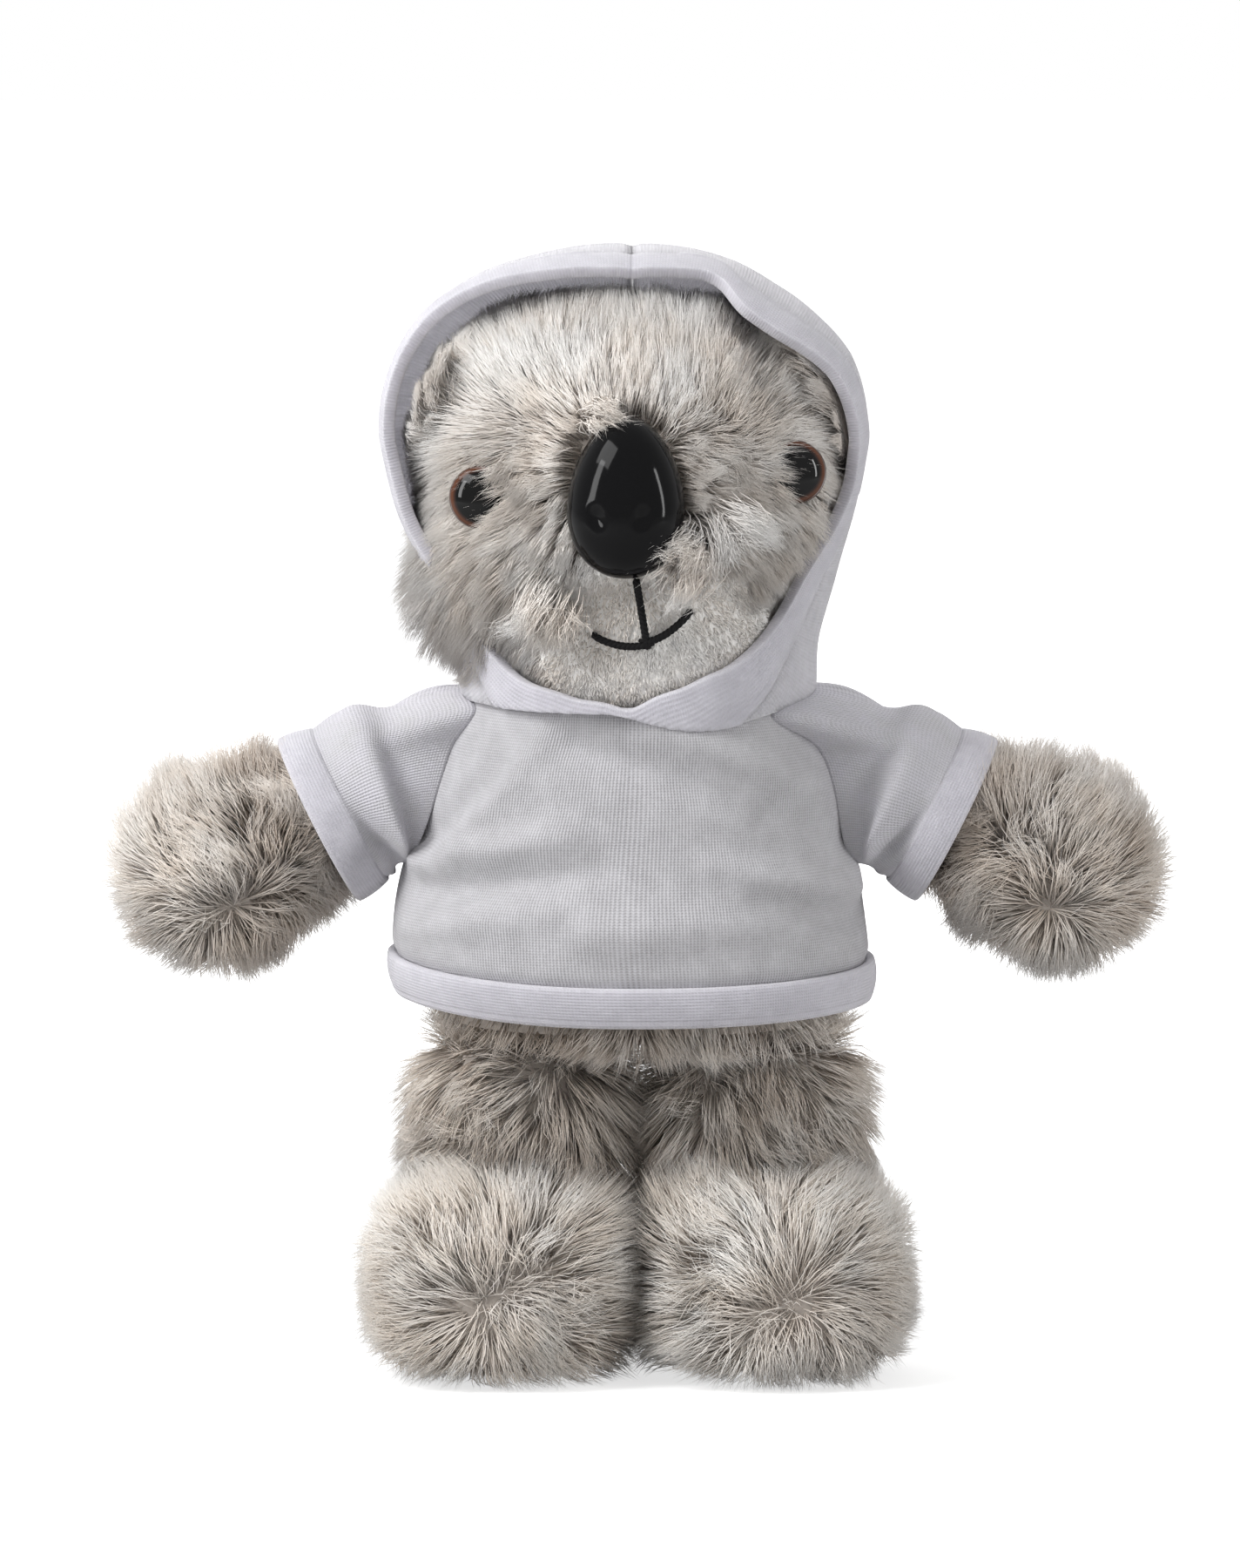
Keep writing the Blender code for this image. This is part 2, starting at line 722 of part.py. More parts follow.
def neck_plug(height, radius):
    return level_ring(Vector((0, 0, height)), radius, radius, radius, 2, HEAD_SIDES)


def make_head(fur, white, filling, carrier, sockets):
    bottom = NECK + GAP / 2
    floor = HEAD_MIDDLE - (HEAD_JOWL - PILE) * 0.85
    outside = head_rings(0, bottom, 13)
    inside = head_rings(PILE, floor, 7)
    opening = [neck_plug(bottom, NECK_OPENING), neck_plug(floor - PILE / 4, NECK_OPENING)]
    window, patch_edge = [
        cutter(name, patch_form(grow)) for name, grow in (("window", GAP), ("patch", 0))
    ]
    skin = outside[::-1] + opening + inside
    cut(add("head", loft(skin), fur, carrier), window, *sockets)
    patch = add("chin_patch", loft(skin), white, carrier)
    cut(patch, patch_edge, operation="INTERSECT")
    cut(patch, sockets[0])
    plug = NECK_OPENING - GAP
    rings = [neck_plug(bottom, plug), neck_plug(floor - PILE / 4 + GAP, plug)]
    rings += head_rings(PILE + GAP, floor + GAP, 7)
    cut(add("head_stuffing", loft(rings), filling, carrier), *sockets)


def patch_form(grow):
    """An oval bar through the front of the head that bounds the chin patch."""
    half_width, half_height = PATCH_WIDTH / 2 + grow, PATCH_HEIGHT / 2 + grow
    rings = []
    for y in (-2 * HEAD_FRONT, -HEAD_FRONT / 3):
        ring = []
        for i in range(TORSO_SIDES):
            x, z = superellipse(math.tau * i / TORSO_SIDES, HEAD_ROUND)
            height = HEAD_MIDDLE - PATCH_DROP + half_height * z
            ring.append(Vector((PATCH_OFFSET + half_width * x, y, height)))
        rings.append(ring)
    return loft(rings)


def button(radius, dome, stem, washer=None, grow=0.0):
    """A domed eye or nose, turned about +Z with its stem below, and grown by a clearance.
    With a washer's radius it is the whole socket that the piece and its washer fill."""
    base, back = -SUNK, -SUNK - WASHER_THICKNESS / 2 - grow
    end = -WASHER_DEPTH - WASHER_THICKNESS - STEM_PAST_WASHER - grow
    profile = [(0, base + dome + grow)]
    for step in range(1, 6):
        turn = math.pi / 2 * step / 5
        out, rise = (radius + grow) * math.sin(turn), (dome + grow) * math.cos(turn)
        profile.append((out, base + rise))
    profile += [(radius + grow, back), (stem + grow, back)]
    if washer is not None:
        top, under = -WASHER_DEPTH + grow, -WASHER_DEPTH - WASHER_THICKNESS - grow
        profile += [(stem + grow, top), (washer + grow, top)]
        profile += [(washer + grow, under), (stem + grow, under)]
    return turned(profile + [(stem + grow, end), (0, end)], SMALL_SIDES)


def egg(bm, grow=0.0):
    """Narrows the turned nose to its width, and its upper end more than its lower."""
    for vert in bm.verts:
        if vert.co.z > -SUNK - WASHER_THICKNESS - grow:
            share = NOSE_WIDTH / NOSE_HEIGHT
            share *= 1 - NOSE_NARROWING * vert.co.y / (NOSE_HEIGHT / 2)
            if vert.co.xy.length > NOSE_STEM_RADIUS + 2 * GAP:
                vert.co.x *= share
    return bm


def washer_ring(stem, radius):
    """A flat lock washer round a stem."""
    top, under = -WASHER_DEPTH, -WASHER_DEPTH - WASHER_THICKNESS
    rings = []
    for size, height in ((stem, top), (radius, top), (radius, under), (stem, under)):
        grow = GAP if size == stem else 0
        middle = Vector((0, 0, height))
        size += grow
        rings.append(level_ring(middle, size, size, size, 2, SMALL_SIDES))
    return loft(rings, closed=True)


def placed(bm, frame):
    bm.transform(frame)
    return bm


def make_face(black, gloss, clip, carrier):
    """The nose, the eyes and their washers. It returns their sockets, the nose's first."""
    nose_frame = face_frame(NOSE_OFFSET, HEAD_MIDDLE + NOSE_LIFT, NOSE_HEIGHT / 2)
    size = (NOSE_HEIGHT / 2, NOSE_DOME, NOSE_STEM_RADIUS)
    add("nose", placed(egg(button(*size)), nose_frame), black, carrier)
    washer = washer_ring(NOSE_STEM_RADIUS, NOSE_WASHER_RADIUS)
    add("nose_washer", placed(washer, nose_frame), clip, carrier)
    socket = egg(button(*size, NOSE_WASHER_RADIUS, GAP), GAP)
    sockets = [cutter("nose_socket", placed(socket, nose_frame))]
    size = (EYE_DIAMETER / 2, EYE_DOME, EYE_STEM_RADIUS)
    for side, label, lift in ((1, "left", LEFT_EYE_LIFT), (-1, "right", RIGHT_EYE_LIFT)):
        frame = face_frame(side * EYE_SPACING / 2, HEAD_MIDDLE + lift, EYE_DIAMETER / 4)
        add(label + "_eye", placed(button(*size), frame), gloss, carrier)
        washer = washer_ring(EYE_STEM_RADIUS, EYE_WASHER_RADIUS)
        add(label + "_eye_washer", placed(washer, frame), clip, carrier)
        socket = placed(button(*size, EYE_WASHER_RADIUS, GAP), frame)
        sockets.append(cutter(label + "_eye_socket", socket))
    return sockets


def stitch(name, start, end, sag, thread, carrier):
    """A thread that lies on the face between two (x, rise) places and sags between them."""
    curve = bpy.data.curves.new(name, "CURVE")
    curve.dimensions = "3D"
    curve.bevel_depth = THREAD_RADIUS
    curve.bevel_resolution = 1
    curve.use_fill_caps = True
    spline = curve.splines.new("POLY")
    spline.points.add(THREAD_POINTS - 1)
    for i, point in enumerate(spline.points):
        share = i / (THREAD_POINTS - 1)
        x = start[0] + (end[0] - start[0]) * share
        rise = start[1] + (end[1] - start[1]) * share - 4 * sag * share * (1 - share)
        place = face_point(x, HEAD_MIDDLE + rise) - carrier.location
        place.y -= THREAD_RADIUS + 2 * GAP
        point.co = (*place, 1)
    curve.materials.append(thread)
    made = bpy.data.objects.new(name, curve)
    bpy.context.scene.collection.objects.link(made)
    made.parent = carrier


def make_mouth(thread, carrier):
    x, rise = MOUTH_KNOT
    stitch("mouth_upright", MOUTH_TOP, (x, rise + 2 * THREAD_RADIUS), 0, thread, carrier)
    for name, end, aside in (
        ("mouth_left", MOUTH_LEFT_END, GAP),
        ("mouth_right", MOUTH_RIGHT_END, -GAP),
    ):
        stitch(name, (x + aside, rise), end, MOUTH_SAG, thread, carrier)


# Hood and ears


def hood_section(height, inset):
    """Half the width, the depth in front and the depth behind of the hood at a height."""
    across, deep = (half + SLEEVE_ROOM for half in torso_half(NECK))
    neck = (across, deep, deep)
    middle = (HEAD_WIDTH / 2 + HOOD_EAR_ROOM, HOOD_FRONT, HEAD_BACK + HOOD_BACK_ROOM)
    if height > HOOD_MIDDLE:
        up = HOOD_CROWN - inset
        share = swell(height, HOOD_MIDDLE, up, up, HOOD_ROUND, HOOD_ROUND)
        return [(size - inset) * share for size in middle]
    rise = (height - NECK) / (HOOD_MIDDLE - NECK)
    share = math.sin(math.pi / 2 * rise) ** CHEEK_SWELL
    return [a + (b - a) * share - inset for a, b in zip(neck, middle)]


def hood_rings(inset):
    """Level rings of the hood from its neckline up to the pole at its top."""
    up, bottom = HOOD_CROWN - inset, NECK + GAP / 2
    shape = (HOOD_MIDDLE, up, up, HOOD_ROUND, HOOD_ROUND)
    heights = [bottom + (HOOD_MIDDLE - bottom) * step / 6 for step in range(6)]
    heights += levels(*shape, HOOD_MIDDLE, HOOD_MIDDLE + up, 8)[:-1]
    rings = []
    for height in heights:
        size = hood_section(height, inset)
        rings.append(level_ring(Vector((0, 0, height)), *size, HEAD_ROUND, HEAD_SIDES))
    rings.append([Vector((0, 0, HOOD_MIDDLE + up))])
    return rings


def rim_y(height):
    """Where the hood's front edge lies at this height."""
    if height > HOOD_MIDDLE:
        return RIM_AT_EARS - RIM_TOP_REACH * ((height - HOOD_MIDDLE) / HOOD_CROWN) ** 2
    fall = (HOOD_MIDDLE - height) / (HOOD_MIDDLE - NECK)
    return RIM_AT_EARS - RIM_CHIN_REACH * fall**3


def before_rim(name, shift):
    """A cutter of all that lies in front of the hood's front edge, moved back by shift."""
    low, high = NECK - RIM_BAND, HOOD_MIDDLE + HOOD_CROWN + RIM_BAND
    outline = []
    for step in range(RIM_STEPS + 1):
        height = low + (high - low) * step / RIM_STEPS
        outline.append((rim_y(height) + shift, height))
    outline += [(-FAR, high), (-FAR, low)]
    return cutter(name, prism(outline, HEAD_WIDTH))


def make_hood(jersey, ribbed, carrier):
    ahead_of_panels = before_rim("ahead_of_panels", RIM_BAND + GAP)
    other_halves = {
        "left": box((-FAR, -FAR, -FAR), (GAP / 2, FAR, FAR)),
        "right": box((-GAP / 2, -FAR, -FAR), (FAR, FAR, FAR)),
    }
    for label, half in other_halves.items():
        shell = loft(hood_rings(0)[::-1] + hood_rings(JERSEY))
        panel = add(f"hood_{label}_panel", shell, jersey, carrier)
        cut(panel, ahead_of_panels, cutter(f"beyond_{label}_panel", half))
    shell = loft(hood_rings(-BAND_PROUD)[::-1] + hood_rings(JERSEY))
    band = add("hood_edge_band", shell, ribbed, carrier)
    cut(band, before_rim("face_opening", 0))
    cut(band, before_rim("band_reach", RIM_BAND), operation="INTERSECT")
    low = (NOTCH_OFFSET - NOTCH_WIDTH / 2, -FAR, NECK - FAR)
    high = (NOTCH_OFFSET + NOTCH_WIDTH / 2, 0, HEAD_MIDDLE)
    cut(band, cutter("chin_notch", box(low, high)))


def make_ears(fur, carrier):
    """An ear lies folded between each side of the head and the inside of the hood."""
    head_form = cutter("head_form", loft(head_rings(-GAP, NECK + GAP / 2, 13)))
    hood_inside = cutter("hood_inside", loft(hood_rings(JERSEY + GAP)))
    height = HEAD_MIDDLE + EAR_LIFT
    across = head_section(height, 0)[0]
    for side, label in ((1, "left"), (-1, "right")):
        ear = ball((0, 0, 0), (EAR_THICKNESS / 2, EAR_DEPTH / 2, EAR_HEIGHT / 2), SMALL_SIDES)
        lean = Matrix.Rotation(-side * EAR_LEAN, 4, "Y")
        ear.transform(Matrix.Translation((side * across, HEAD_SET_BACK, height)) @ lean)
        thing = add(label + "_ear", ear, fur, carrier)
        cut(thing, head_form)
        cut(thing, hood_inside, operation="INTERSECT")


# The whole koala

for thing in list(bpy.data.objects):
    bpy.data.objects.remove(thing)

head_fur = material("head_fur", (0.42, 0.38, 0.36), 0.95)
body_fur = material("body_fur", (0.36, 0.32, 0.30), 0.95)
leg_fur = material("leg_fur", (0.24, 0.21, 0.20), 0.95)
foot_fur = material("foot_fur", (0.44, 0.40, 0.37), 0.95)
white_pile = material("white_pile", (0.82, 0.80, 0.77), 0.95)
jersey = material("white_jersey", (0.84, 0.83, 0.86), 0.85)
ribbed = material("folded_jersey", (0.80, 0.79, 0.82), 0.85)
filling = material("stuffing", (0.85, 0.85, 0.83), 1.0)
nose_black = material("nose_black", (0.006, 0.006, 0.007), 0.12)
eye_gloss = material("eye_gloss", (0.010, 0.006, 0.005), 0.05)
thread_black = material("black_thread", (0.012, 0.011, 0.011), 0.8)
clip_plastic = material("clip_plastic", (0.72, 0.72, 0.70), 0.4)

SIDES = ((1, "left"), (-1, "right"))
neck_pivot = pivot("neck_pivot", (0, 0, NECK))
pockets, armholes = [], []
for side, label in SIDES:
    shoulder_room = cutter(label + "_shoulder_pocket", shoulder_pocket(side))
    arm_room = cutter(label + "_armhole", armhole(side))
    armholes += [shoulder_room, arm_room]
    pockets.append(cutter(label + "_hip_pocket", hip_pocket(side)))
make_torso(body_fur, filling, pockets + armholes)
make_shirt(jersey, ribbed, armholes)
body_form = cutter("shirt_form", shirt_form())
for side, label in SIDES:
    shoulder = pivot(label + "_shoulder_pivot", shoulder_place(side))
    make_arm(side, label, body_fur, filling, shoulder)
    make_sleeve(side, label, jersey, ribbed, body_form, shoulder)
    hip = pivot(label + "_hip_pivot", (side * LEG_X, 0, HIP_HEIGHT))
    make_leg(side, label, leg_fur, filling, hip)
    make_foot(side, label, foot_fur, filling, hip)
sockets = make_face(nose_black, eye_gloss, clip_plastic, neck_pivot)
make_head(head_fur, white_pile, filling, neck_pivot, sockets)
make_mouth(thread_black, neck_pivot)
make_hood(jersey, ribbed, neck_pivot)
make_ears(head_fur, neck_pivot)
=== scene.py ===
"""The looks of the plush koala: its fur, its hooded jersey shirt, eyes, nose and mouth.

Left and right are the koala's own sides, so its left side is at +X. All sizes are in metres.
"""

import math

import bpy
import numpy as np
from mathutils import Matrix, Vector
from mathutils.bvhtree import BVHTree
from mathutils.kdtree import KDTree


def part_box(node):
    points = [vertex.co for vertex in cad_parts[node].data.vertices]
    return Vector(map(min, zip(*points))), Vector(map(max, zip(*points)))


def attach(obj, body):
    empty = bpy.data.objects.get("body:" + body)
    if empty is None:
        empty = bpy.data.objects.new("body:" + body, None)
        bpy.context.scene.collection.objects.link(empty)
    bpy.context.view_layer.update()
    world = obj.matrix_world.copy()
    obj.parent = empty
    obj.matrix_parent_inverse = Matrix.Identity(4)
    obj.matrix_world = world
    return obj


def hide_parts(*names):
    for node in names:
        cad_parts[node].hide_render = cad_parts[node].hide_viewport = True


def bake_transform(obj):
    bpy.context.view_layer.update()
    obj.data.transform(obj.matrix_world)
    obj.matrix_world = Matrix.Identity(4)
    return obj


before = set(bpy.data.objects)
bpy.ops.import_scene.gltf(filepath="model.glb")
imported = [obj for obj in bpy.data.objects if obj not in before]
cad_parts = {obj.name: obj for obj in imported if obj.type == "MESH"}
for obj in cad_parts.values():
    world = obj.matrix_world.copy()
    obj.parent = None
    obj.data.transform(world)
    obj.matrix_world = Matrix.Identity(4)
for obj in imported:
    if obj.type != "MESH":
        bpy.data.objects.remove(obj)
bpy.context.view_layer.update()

SIDES = ((1, "left"), (-1, "right"))

# The camera stands at the photograph's angle, a little above the koala
CAMERA_DISTANCE = 3.0
CAMERA_ELEVATION = math.radians(7)
VIEW_HEIGHT = 0.2943
VIEW_MIDDLE = Vector((-0.0033, 0, 0.1104))

# Places that come from the frame
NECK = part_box("head")[0].z
HEAD_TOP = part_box("head")[1].z
HEAD_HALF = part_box("head")[1].x
HOOD_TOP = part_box("hood_left_panel")[1].z
FOOT_LOW, FOOT_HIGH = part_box("left_foot")

# The head's form, as its skin has it
HEAD_MIDDLE = NECK + 0.027
HEAD_CROWN = HEAD_TOP - HEAD_MIDDLE
HEAD_JOWL = 0.029
HEAD_FRONT = 0.036
HEAD_SET_BACK = 0.001
HEAD_ROUND = 2.2
CROWN_ROUND = 2.4
# The muzzle's swell: its rise, half width, half height and lift above the head's middle
MUZZLE = (0.004, 0.018, 0.020, 0.002)

# Eyes, nose and mouth. A lift, and the second number of a mouth's place, are heights above
# the head's middle
EYE_RADIUS = 0.006
EYE_DOME = 0.0036
EYE_BACK = 0.0012
EYE_RIM = 0.00025
EYE_SET_BACK = 0.0016
EYE_X = 0.0292
EYE_TURN = math.radians(42)
EYE_LIFTS = {"left": 0.0156, "right": 0.0109}
NOSE_MIDDLE = (-0.0023, HEAD_MIDDLE + 0.0125)
NOSE_WIDTH = 0.0216
NOSE_HEIGHT = 0.0304
NOSE_DOME = 0.0095
NOSE_BACK = 0.003
NOSE_SET_BACK = 0.002
NOSE_NARROWING = 0.16
NOSTRIL = (0.0042, -0.0048)
NOSTRIL_HALF = (0.0013, 0.0020)
NOSTRIL_DEPTH = 0.0007
# The mouth's thread: the radius of a ply, its way off the thread's middle, and its pitch
THREAD = 0.00042
PLY_OFF = 0.00034
PLY_PITCH = 0.0026
MOUTH_TOP = (-0.0003, -0.0035)
MOUTH_KNOT = (0.0018, -0.0154)
MOUTH_LEFT_END = (0.0098, -0.0097)
MOUTH_RIGHT_END = (-0.0082, -0.0141)
MOUTH_SAG = 0.0012
PATCH_MIDDLE = (0.003, HEAD_MIDDLE - 0.0155)
PATCH_HALF = (0.0205, 0.0145)
# The chin fills the collar: (height, half width, half depth) of its skin
CHIN_STATIONS = ((0.130, 0.0262, 0.0262), (0.147, 0.0310, 0.0296))
CHIN_DROP = 0.0050
# The collar gathers in the face's fur below this height
FUR_LOW = 0.1315
# The crown's skin, and the outline of the fur over it: middle, half sizes and roundness
DOME_MIDDLE = (-0.0015, 0.163)
SKULL_HALF = (0.0372, 0.0348)
SKULL_RIGHT = 0.0398
DOME_HALF = (0.0435, 0.0425)
DOME_ROUND = 2.6

# Arms: the shoulder's (x, z), and stations as (way along the arm, radius)
SHOULDER = (0.0375, 0.115)
ARM_DROOP = math.radians(27)
CUFF_START, CUFF_END = 0.0176, 0.025
ARM_STATIONS = ((0, 0.0108), (0.025, 0.0144), (0.046, 0.0195))
# How far a sleeve's end and a cuff stand off the arm
CUFF_ROOM = 0.0026

# The shirt's outside as (height, half width, half depth)
SHIRT_STATIONS = (
    (0.066, 0.0428, 0.0322),
    (0.078, 0.0447, 0.0342),
    (0.088, 0.0440, 0.0342),
    (0.100, 0.0417, 0.0327),
    (0.115, 0.0377, 0.0322),
    (0.123, 0.0347, 0.0313),
    (0.129, 0.0316, 0.0299),
)
SHIRT_ROUND = 2.3
HEM_TOP, HEM_BOTTOM = 0.0794, 0.0712
HEM_SAG = 0.003

# The hood's outside as (height, half width, depth in front, depth behind)
HOOD_STATIONS = (
    (0.112, 0.0328, 0.0332, 0.0320),
    (0.124, 0.0330, 0.0332, 0.0322),
    (0.130, 0.0336, 0.0332, 0.0328),
    (0.137, 0.0340, 0.0332, 0.0350),
    (0.150, 0.0385, 0.0335, 0.0410),
    (0.163, 0.0435, 0.0338, 0.0438),
    (0.176, 0.0462, 0.0340, 0.0445),
)
HOOD_MIDDLE = HOOD_STATIONS[-1][0]
HOOD_ROUND = 2.1
HOOD_SHIFT = -0.0016
HOOD_AXIS = (-0.001, 0.165)
HOOD_ORIGIN = np.array((HOOD_AXIS[0], 0, HOOD_AXIS[1]))
# How far round from straight ahead the hood's edge lies, by the turn from its top towards
# the koala's left, and how far out its outline stands there
RIM_STATIONS = (
    (-180, 47.6), (-176, 47.4), (-171, 47.0), (-156, 50.0), (-141, 57.5), (-129, 63.0),
    (-113, 70.0), (-97, 76.0), (-78, 79.0), (-60, 81.0), (-44, 80.5), (-31, 77.0), (-19, 73.5),
    (-6, 71.0), (6, 71.0), (14, 72.5), (20, 74.0), (28, 66.0), (40, 65.5),
    (57, 71.0), (70, 74.0), (86, 74.5), (97, 68.0), (104, 63.0), (113, 58.5),
    (129, 54.5), (141, 51.0), (156, 46.5), (171, 45.6), (176, 46.4), (180, 47.6),
)
OUTLINE_STATIONS = (
    (-180, 1), (-90, 1), (-62, 1.014), (-49, 1.022), (-35, 1.006), (-22, 0.986), (0, 0.980),
    (14, 0.982), (24, 0.978), (34, 0.964), (46, 0.968), (57, 0.983), (70, 0.973), (90, 0.975),
    (115, 0.985), (135, 1), (180, 1),
)
RIM_BAND = 0.0075
# How far below the hood's outside the fur of the face and of the ears stays
FACE_ROOM = 0.0032
EAR_ROOM = 0.0034
# The walls of the jersey, of its folded bands and of the hood's edge, and a wale's width
JERSEY = 0.0012
BAND_WALL = 0.0021
RIM_WALL = 0.0024
KNIT = 0.00058
# The mean radii at which the maps of the cloth are measured round each piece
SHIRT_RADIUS = 0.040
SLEEVE_RADIUS = 0.0165
CUFF_RADIUS = 0.017
HOOD_RADIUS = 0.043

# The grain of the remeshed skins, and the height above the floor where the fur ends
VOXEL = 0.0016
FLOOR_GAP = 0.0004
BACKWARDS = np.array((0, 1.0, 0))


# Small tools


def unit(vectors):
    """The vectors at a length of 1."""
    return vectors / np.maximum(np.linalg.norm(vectors, axis=-1, keepdims=True), 1e-9)


def bump(value, middle, width):
    """A smooth rise of height 1 at the middle, this wide to each side."""
    return np.exp(-(((value - middle) / width) ** 2))


def ramp(value, low, high):
    """0 below low, 1 above high and smooth between them."""
    share = np.clip((value - low) / (high - low), 0, 1)
    return share * share * (3 - 2 * share)


def smooth_through(stations, at):
    """A smooth curve through the stations, whose first number is the place."""
    stations = np.array(stations)
    places, values = stations[:, 0], stations[:, 1:]
    slopes = np.gradient(values, places, axis=0)
    at = np.clip(np.atleast_1d(at), places[0], places[-1])
    i = np.clip(np.searchsorted(places, at) - 1, 0, len(places) - 2)
    width = places[i + 1] - places[i]
    t = ((at - places[i]) / width)[:, None]
    width = width[:, None]
    return (
        values[i] * (2 * t**3 - 3 * t**2 + 1)
        + values[i + 1] * (3 * t**2 - 2 * t**3)
        + slopes[i] * width * (t**3 - 2 * t**2 + t)
        + slopes[i + 1] * width * (t**3 - t**2)
    )


def round_share(z, middle, up, down, power_up, power_down):
    """How wide a stuffed form is at a height: 1 at its middle and 0 at its poles."""
    above = z > middle
    share = np.clip(np.where(above, (z - middle) / up, (middle - z) / down), 0, 1)
    power = np.where(above, power_up, power_down)
    return (1 - share**power) ** (1 / power)


def oval(turn, power):
    """A point of a unit superellipse."""
    c, s = np.cos(turn), np.sin(turn)
    return np.sign(c) * np.abs(c) ** (2 / power), np.sign(s) * np.abs(s) ** (2 / power)


def face_y(x, z):
    """How far forward the outside of the face lies."""
    share = round_share(z, HEAD_MIDDLE, HEAD_CROWN, HEAD_JOWL, CROWN_ROUND, HEAD_ROUND)
    across = np.clip(np.abs(x) / (HEAD_HALF * share), 0, 1)
    ahead = (1 - across**HEAD_ROUND) ** (1 / HEAD_ROUND)
    rise, wide, tall, lift = MUZZLE
    swell = rise * bump(x, 0, wide) * bump(z, HEAD_MIDDLE + lift, tall)
    return HEAD_SET_BACK - HEAD_FRONT * share * ahead - swell * ahead**2


def face_point(x, z):
    return Vector((x, float(face_y(x, z)), z))


def face_frame(x, z, reach):
    """A matrix on the face whose Z points out of it and whose Y points up along it."""
    across = face_point(x + reach, z) - face_point(x - reach, z)
    upward = face_point(x, z + reach) - face_point(x, z - reach)
    out = across.cross(upward).normalized()
    across.normalize()
    up = out.cross(across)
    turn = Matrix((across, up, out)).transposed().to_4x4()
    return Matrix.Translation(face_point(x, z)) @ turn


def arm_radius(t):
    return smooth_through(ARM_STATIONS, t)[:, 0]


def arm_line(side):
    """The way that an arm points."""
    return np.array((side * math.cos(ARM_DROOP), 0, -math.sin(ARM_DROOP)))


def arm_up(side):
    """The way straight up from an arm."""
    return np.array((side * math.sin(ARM_DROOP), 0, math.cos(ARM_DROOP)))


def by_turn(stations, turn):
    """The value between stations whose places are in degrees."""
    places, values = zip(*stations)
    return np.interp(np.degrees(turn), places, values)


def rim_angle(turn):
    """The hood's edge at this turn from its top, which is 0, with its right side below 0."""
    soft = [by_turn(RIM_STATIONS, turn + math.radians(d)) for d in (-2.5, 0, 2.5)]
    return np.radians(sum(soft) / 3)


def hood_turn(points):
    """The turn of points from the hood's top towards the koala's left."""
    return np.arctan2(points[:, 0] - HOOD_AXIS[0], points[:, 2] - HOOD_AXIS[1])


def hood_reach(direction_of):
    """How far from the hood's axis point its outside lies in each direction."""
    crown = HOOD_TOP - HOOD_MIDDLE
    low, high = np.zeros(len(direction_of)), np.full(len(direction_of), 0.12)
    for _ in range(26):
        reach = (low + high) / 2
        x, y, z = (HOOD_ORIGIN + direction_of * reach[:, None]).T
        sizes = smooth_through(HOOD_STATIONS, z)
        share = round_share(z, HOOD_MIDDLE, crown, 1, HOOD_ROUND, HOOD_ROUND)
        share = np.where(z > HOOD_MIDDLE, share, 1) + 1e-6
        depth = np.where(y > 0, sizes[:, 2], sizes[:, 1]) * share
        shift = HOOD_SHIFT * ramp(z, 0.140, 0.165)
        out = (np.abs(x - shift) / (sizes[:, 0] * share)) ** HEAD_ROUND
        out += (np.abs(y) / depth) ** HEAD_ROUND
        inside = (out < 1) & (z < HOOD_TOP)
        low, high = np.where(inside, reach, low), np.where(inside, high, reach)
    return HOOD_ORIGIN + direction_of * low[:, None]


def hood_surface(way, turn):
    """The hood's outside in each direction from its axis, with the dents of its front."""
    points = hood_reach(way)
    scale = by_turn(OUTLINE_STATIONS, turn)[:, None] - 1
    return points + (points - HOOD_ORIGIN) * scale * ramp(-points[:, 1], -0.034, -0.012)[:, None]


# Meshes


def nothing_selected():
    bpy.ops.object.select_all(action="DESELECT")


def choose(thing):
    nothing_selected()
    thing.select_set(True)
    bpy.context.view_layer.objects.active = thing


def named(name):
    """Names the object that an operator has just added and settles its place in its mesh."""
    thing = bpy.context.object
    thing.name = name
    thing.data.name = name
    bpy.ops.object.transform_apply(location=True, rotation=True, scale=True)
    return thing


def points_of(thing):
    flat = np.empty(len(thing.data.vertices) * 3)
    thing.data.vertices.foreach_get("co", flat)
    return flat.reshape(-1, 3)


def put_points(thing, points):
    thing.data.vertices.foreach_set("co", np.ascontiguousarray(points).ravel())
    thing.data.update()


def apply_modifier(thing, kind, **settings):
    choose(thing)
    modifier = thing.modifiers.new(kind.lower(), kind)
    for key, value in settings.items():
        setattr(modifier, key, value)
    bpy.ops.object.modifier_apply(modifier=modifier.name)


def copy_of(thing, name):
    """A copy with its own mesh, and without the marks of the piece that it comes from."""
    copy = thing.copy()
    copy.data = thing.data.copy()
    copy.name = copy.data.name = name
    bpy.context.scene.collection.objects.link(copy)
    copy.hide_render = copy.hide_viewport = False
    for key in list(copy.keys()):
        if key.startswith("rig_"):
            del copy[key]
    return copy


def keep_faces(thing, wanted):
    """Deletes every face that isn't wanted, an array with one truth for each face."""
    choose(thing)
    mesh = thing.data
    bpy.context.tool_settings.mesh_select_mode = (False, False, True)
    mesh.vertices.foreach_set("select", np.zeros(len(mesh.vertices), bool))
    mesh.edges.foreach_set("select", np.zeros(len(mesh.edges), bool))
    mesh.polygons.foreach_set("select", ~wanted)
    bpy.ops.object.mode_set(mode="EDIT")
    bpy.ops.mesh.delete(type="FACE")
    bpy.ops.object.mode_set(mode="OBJECT")


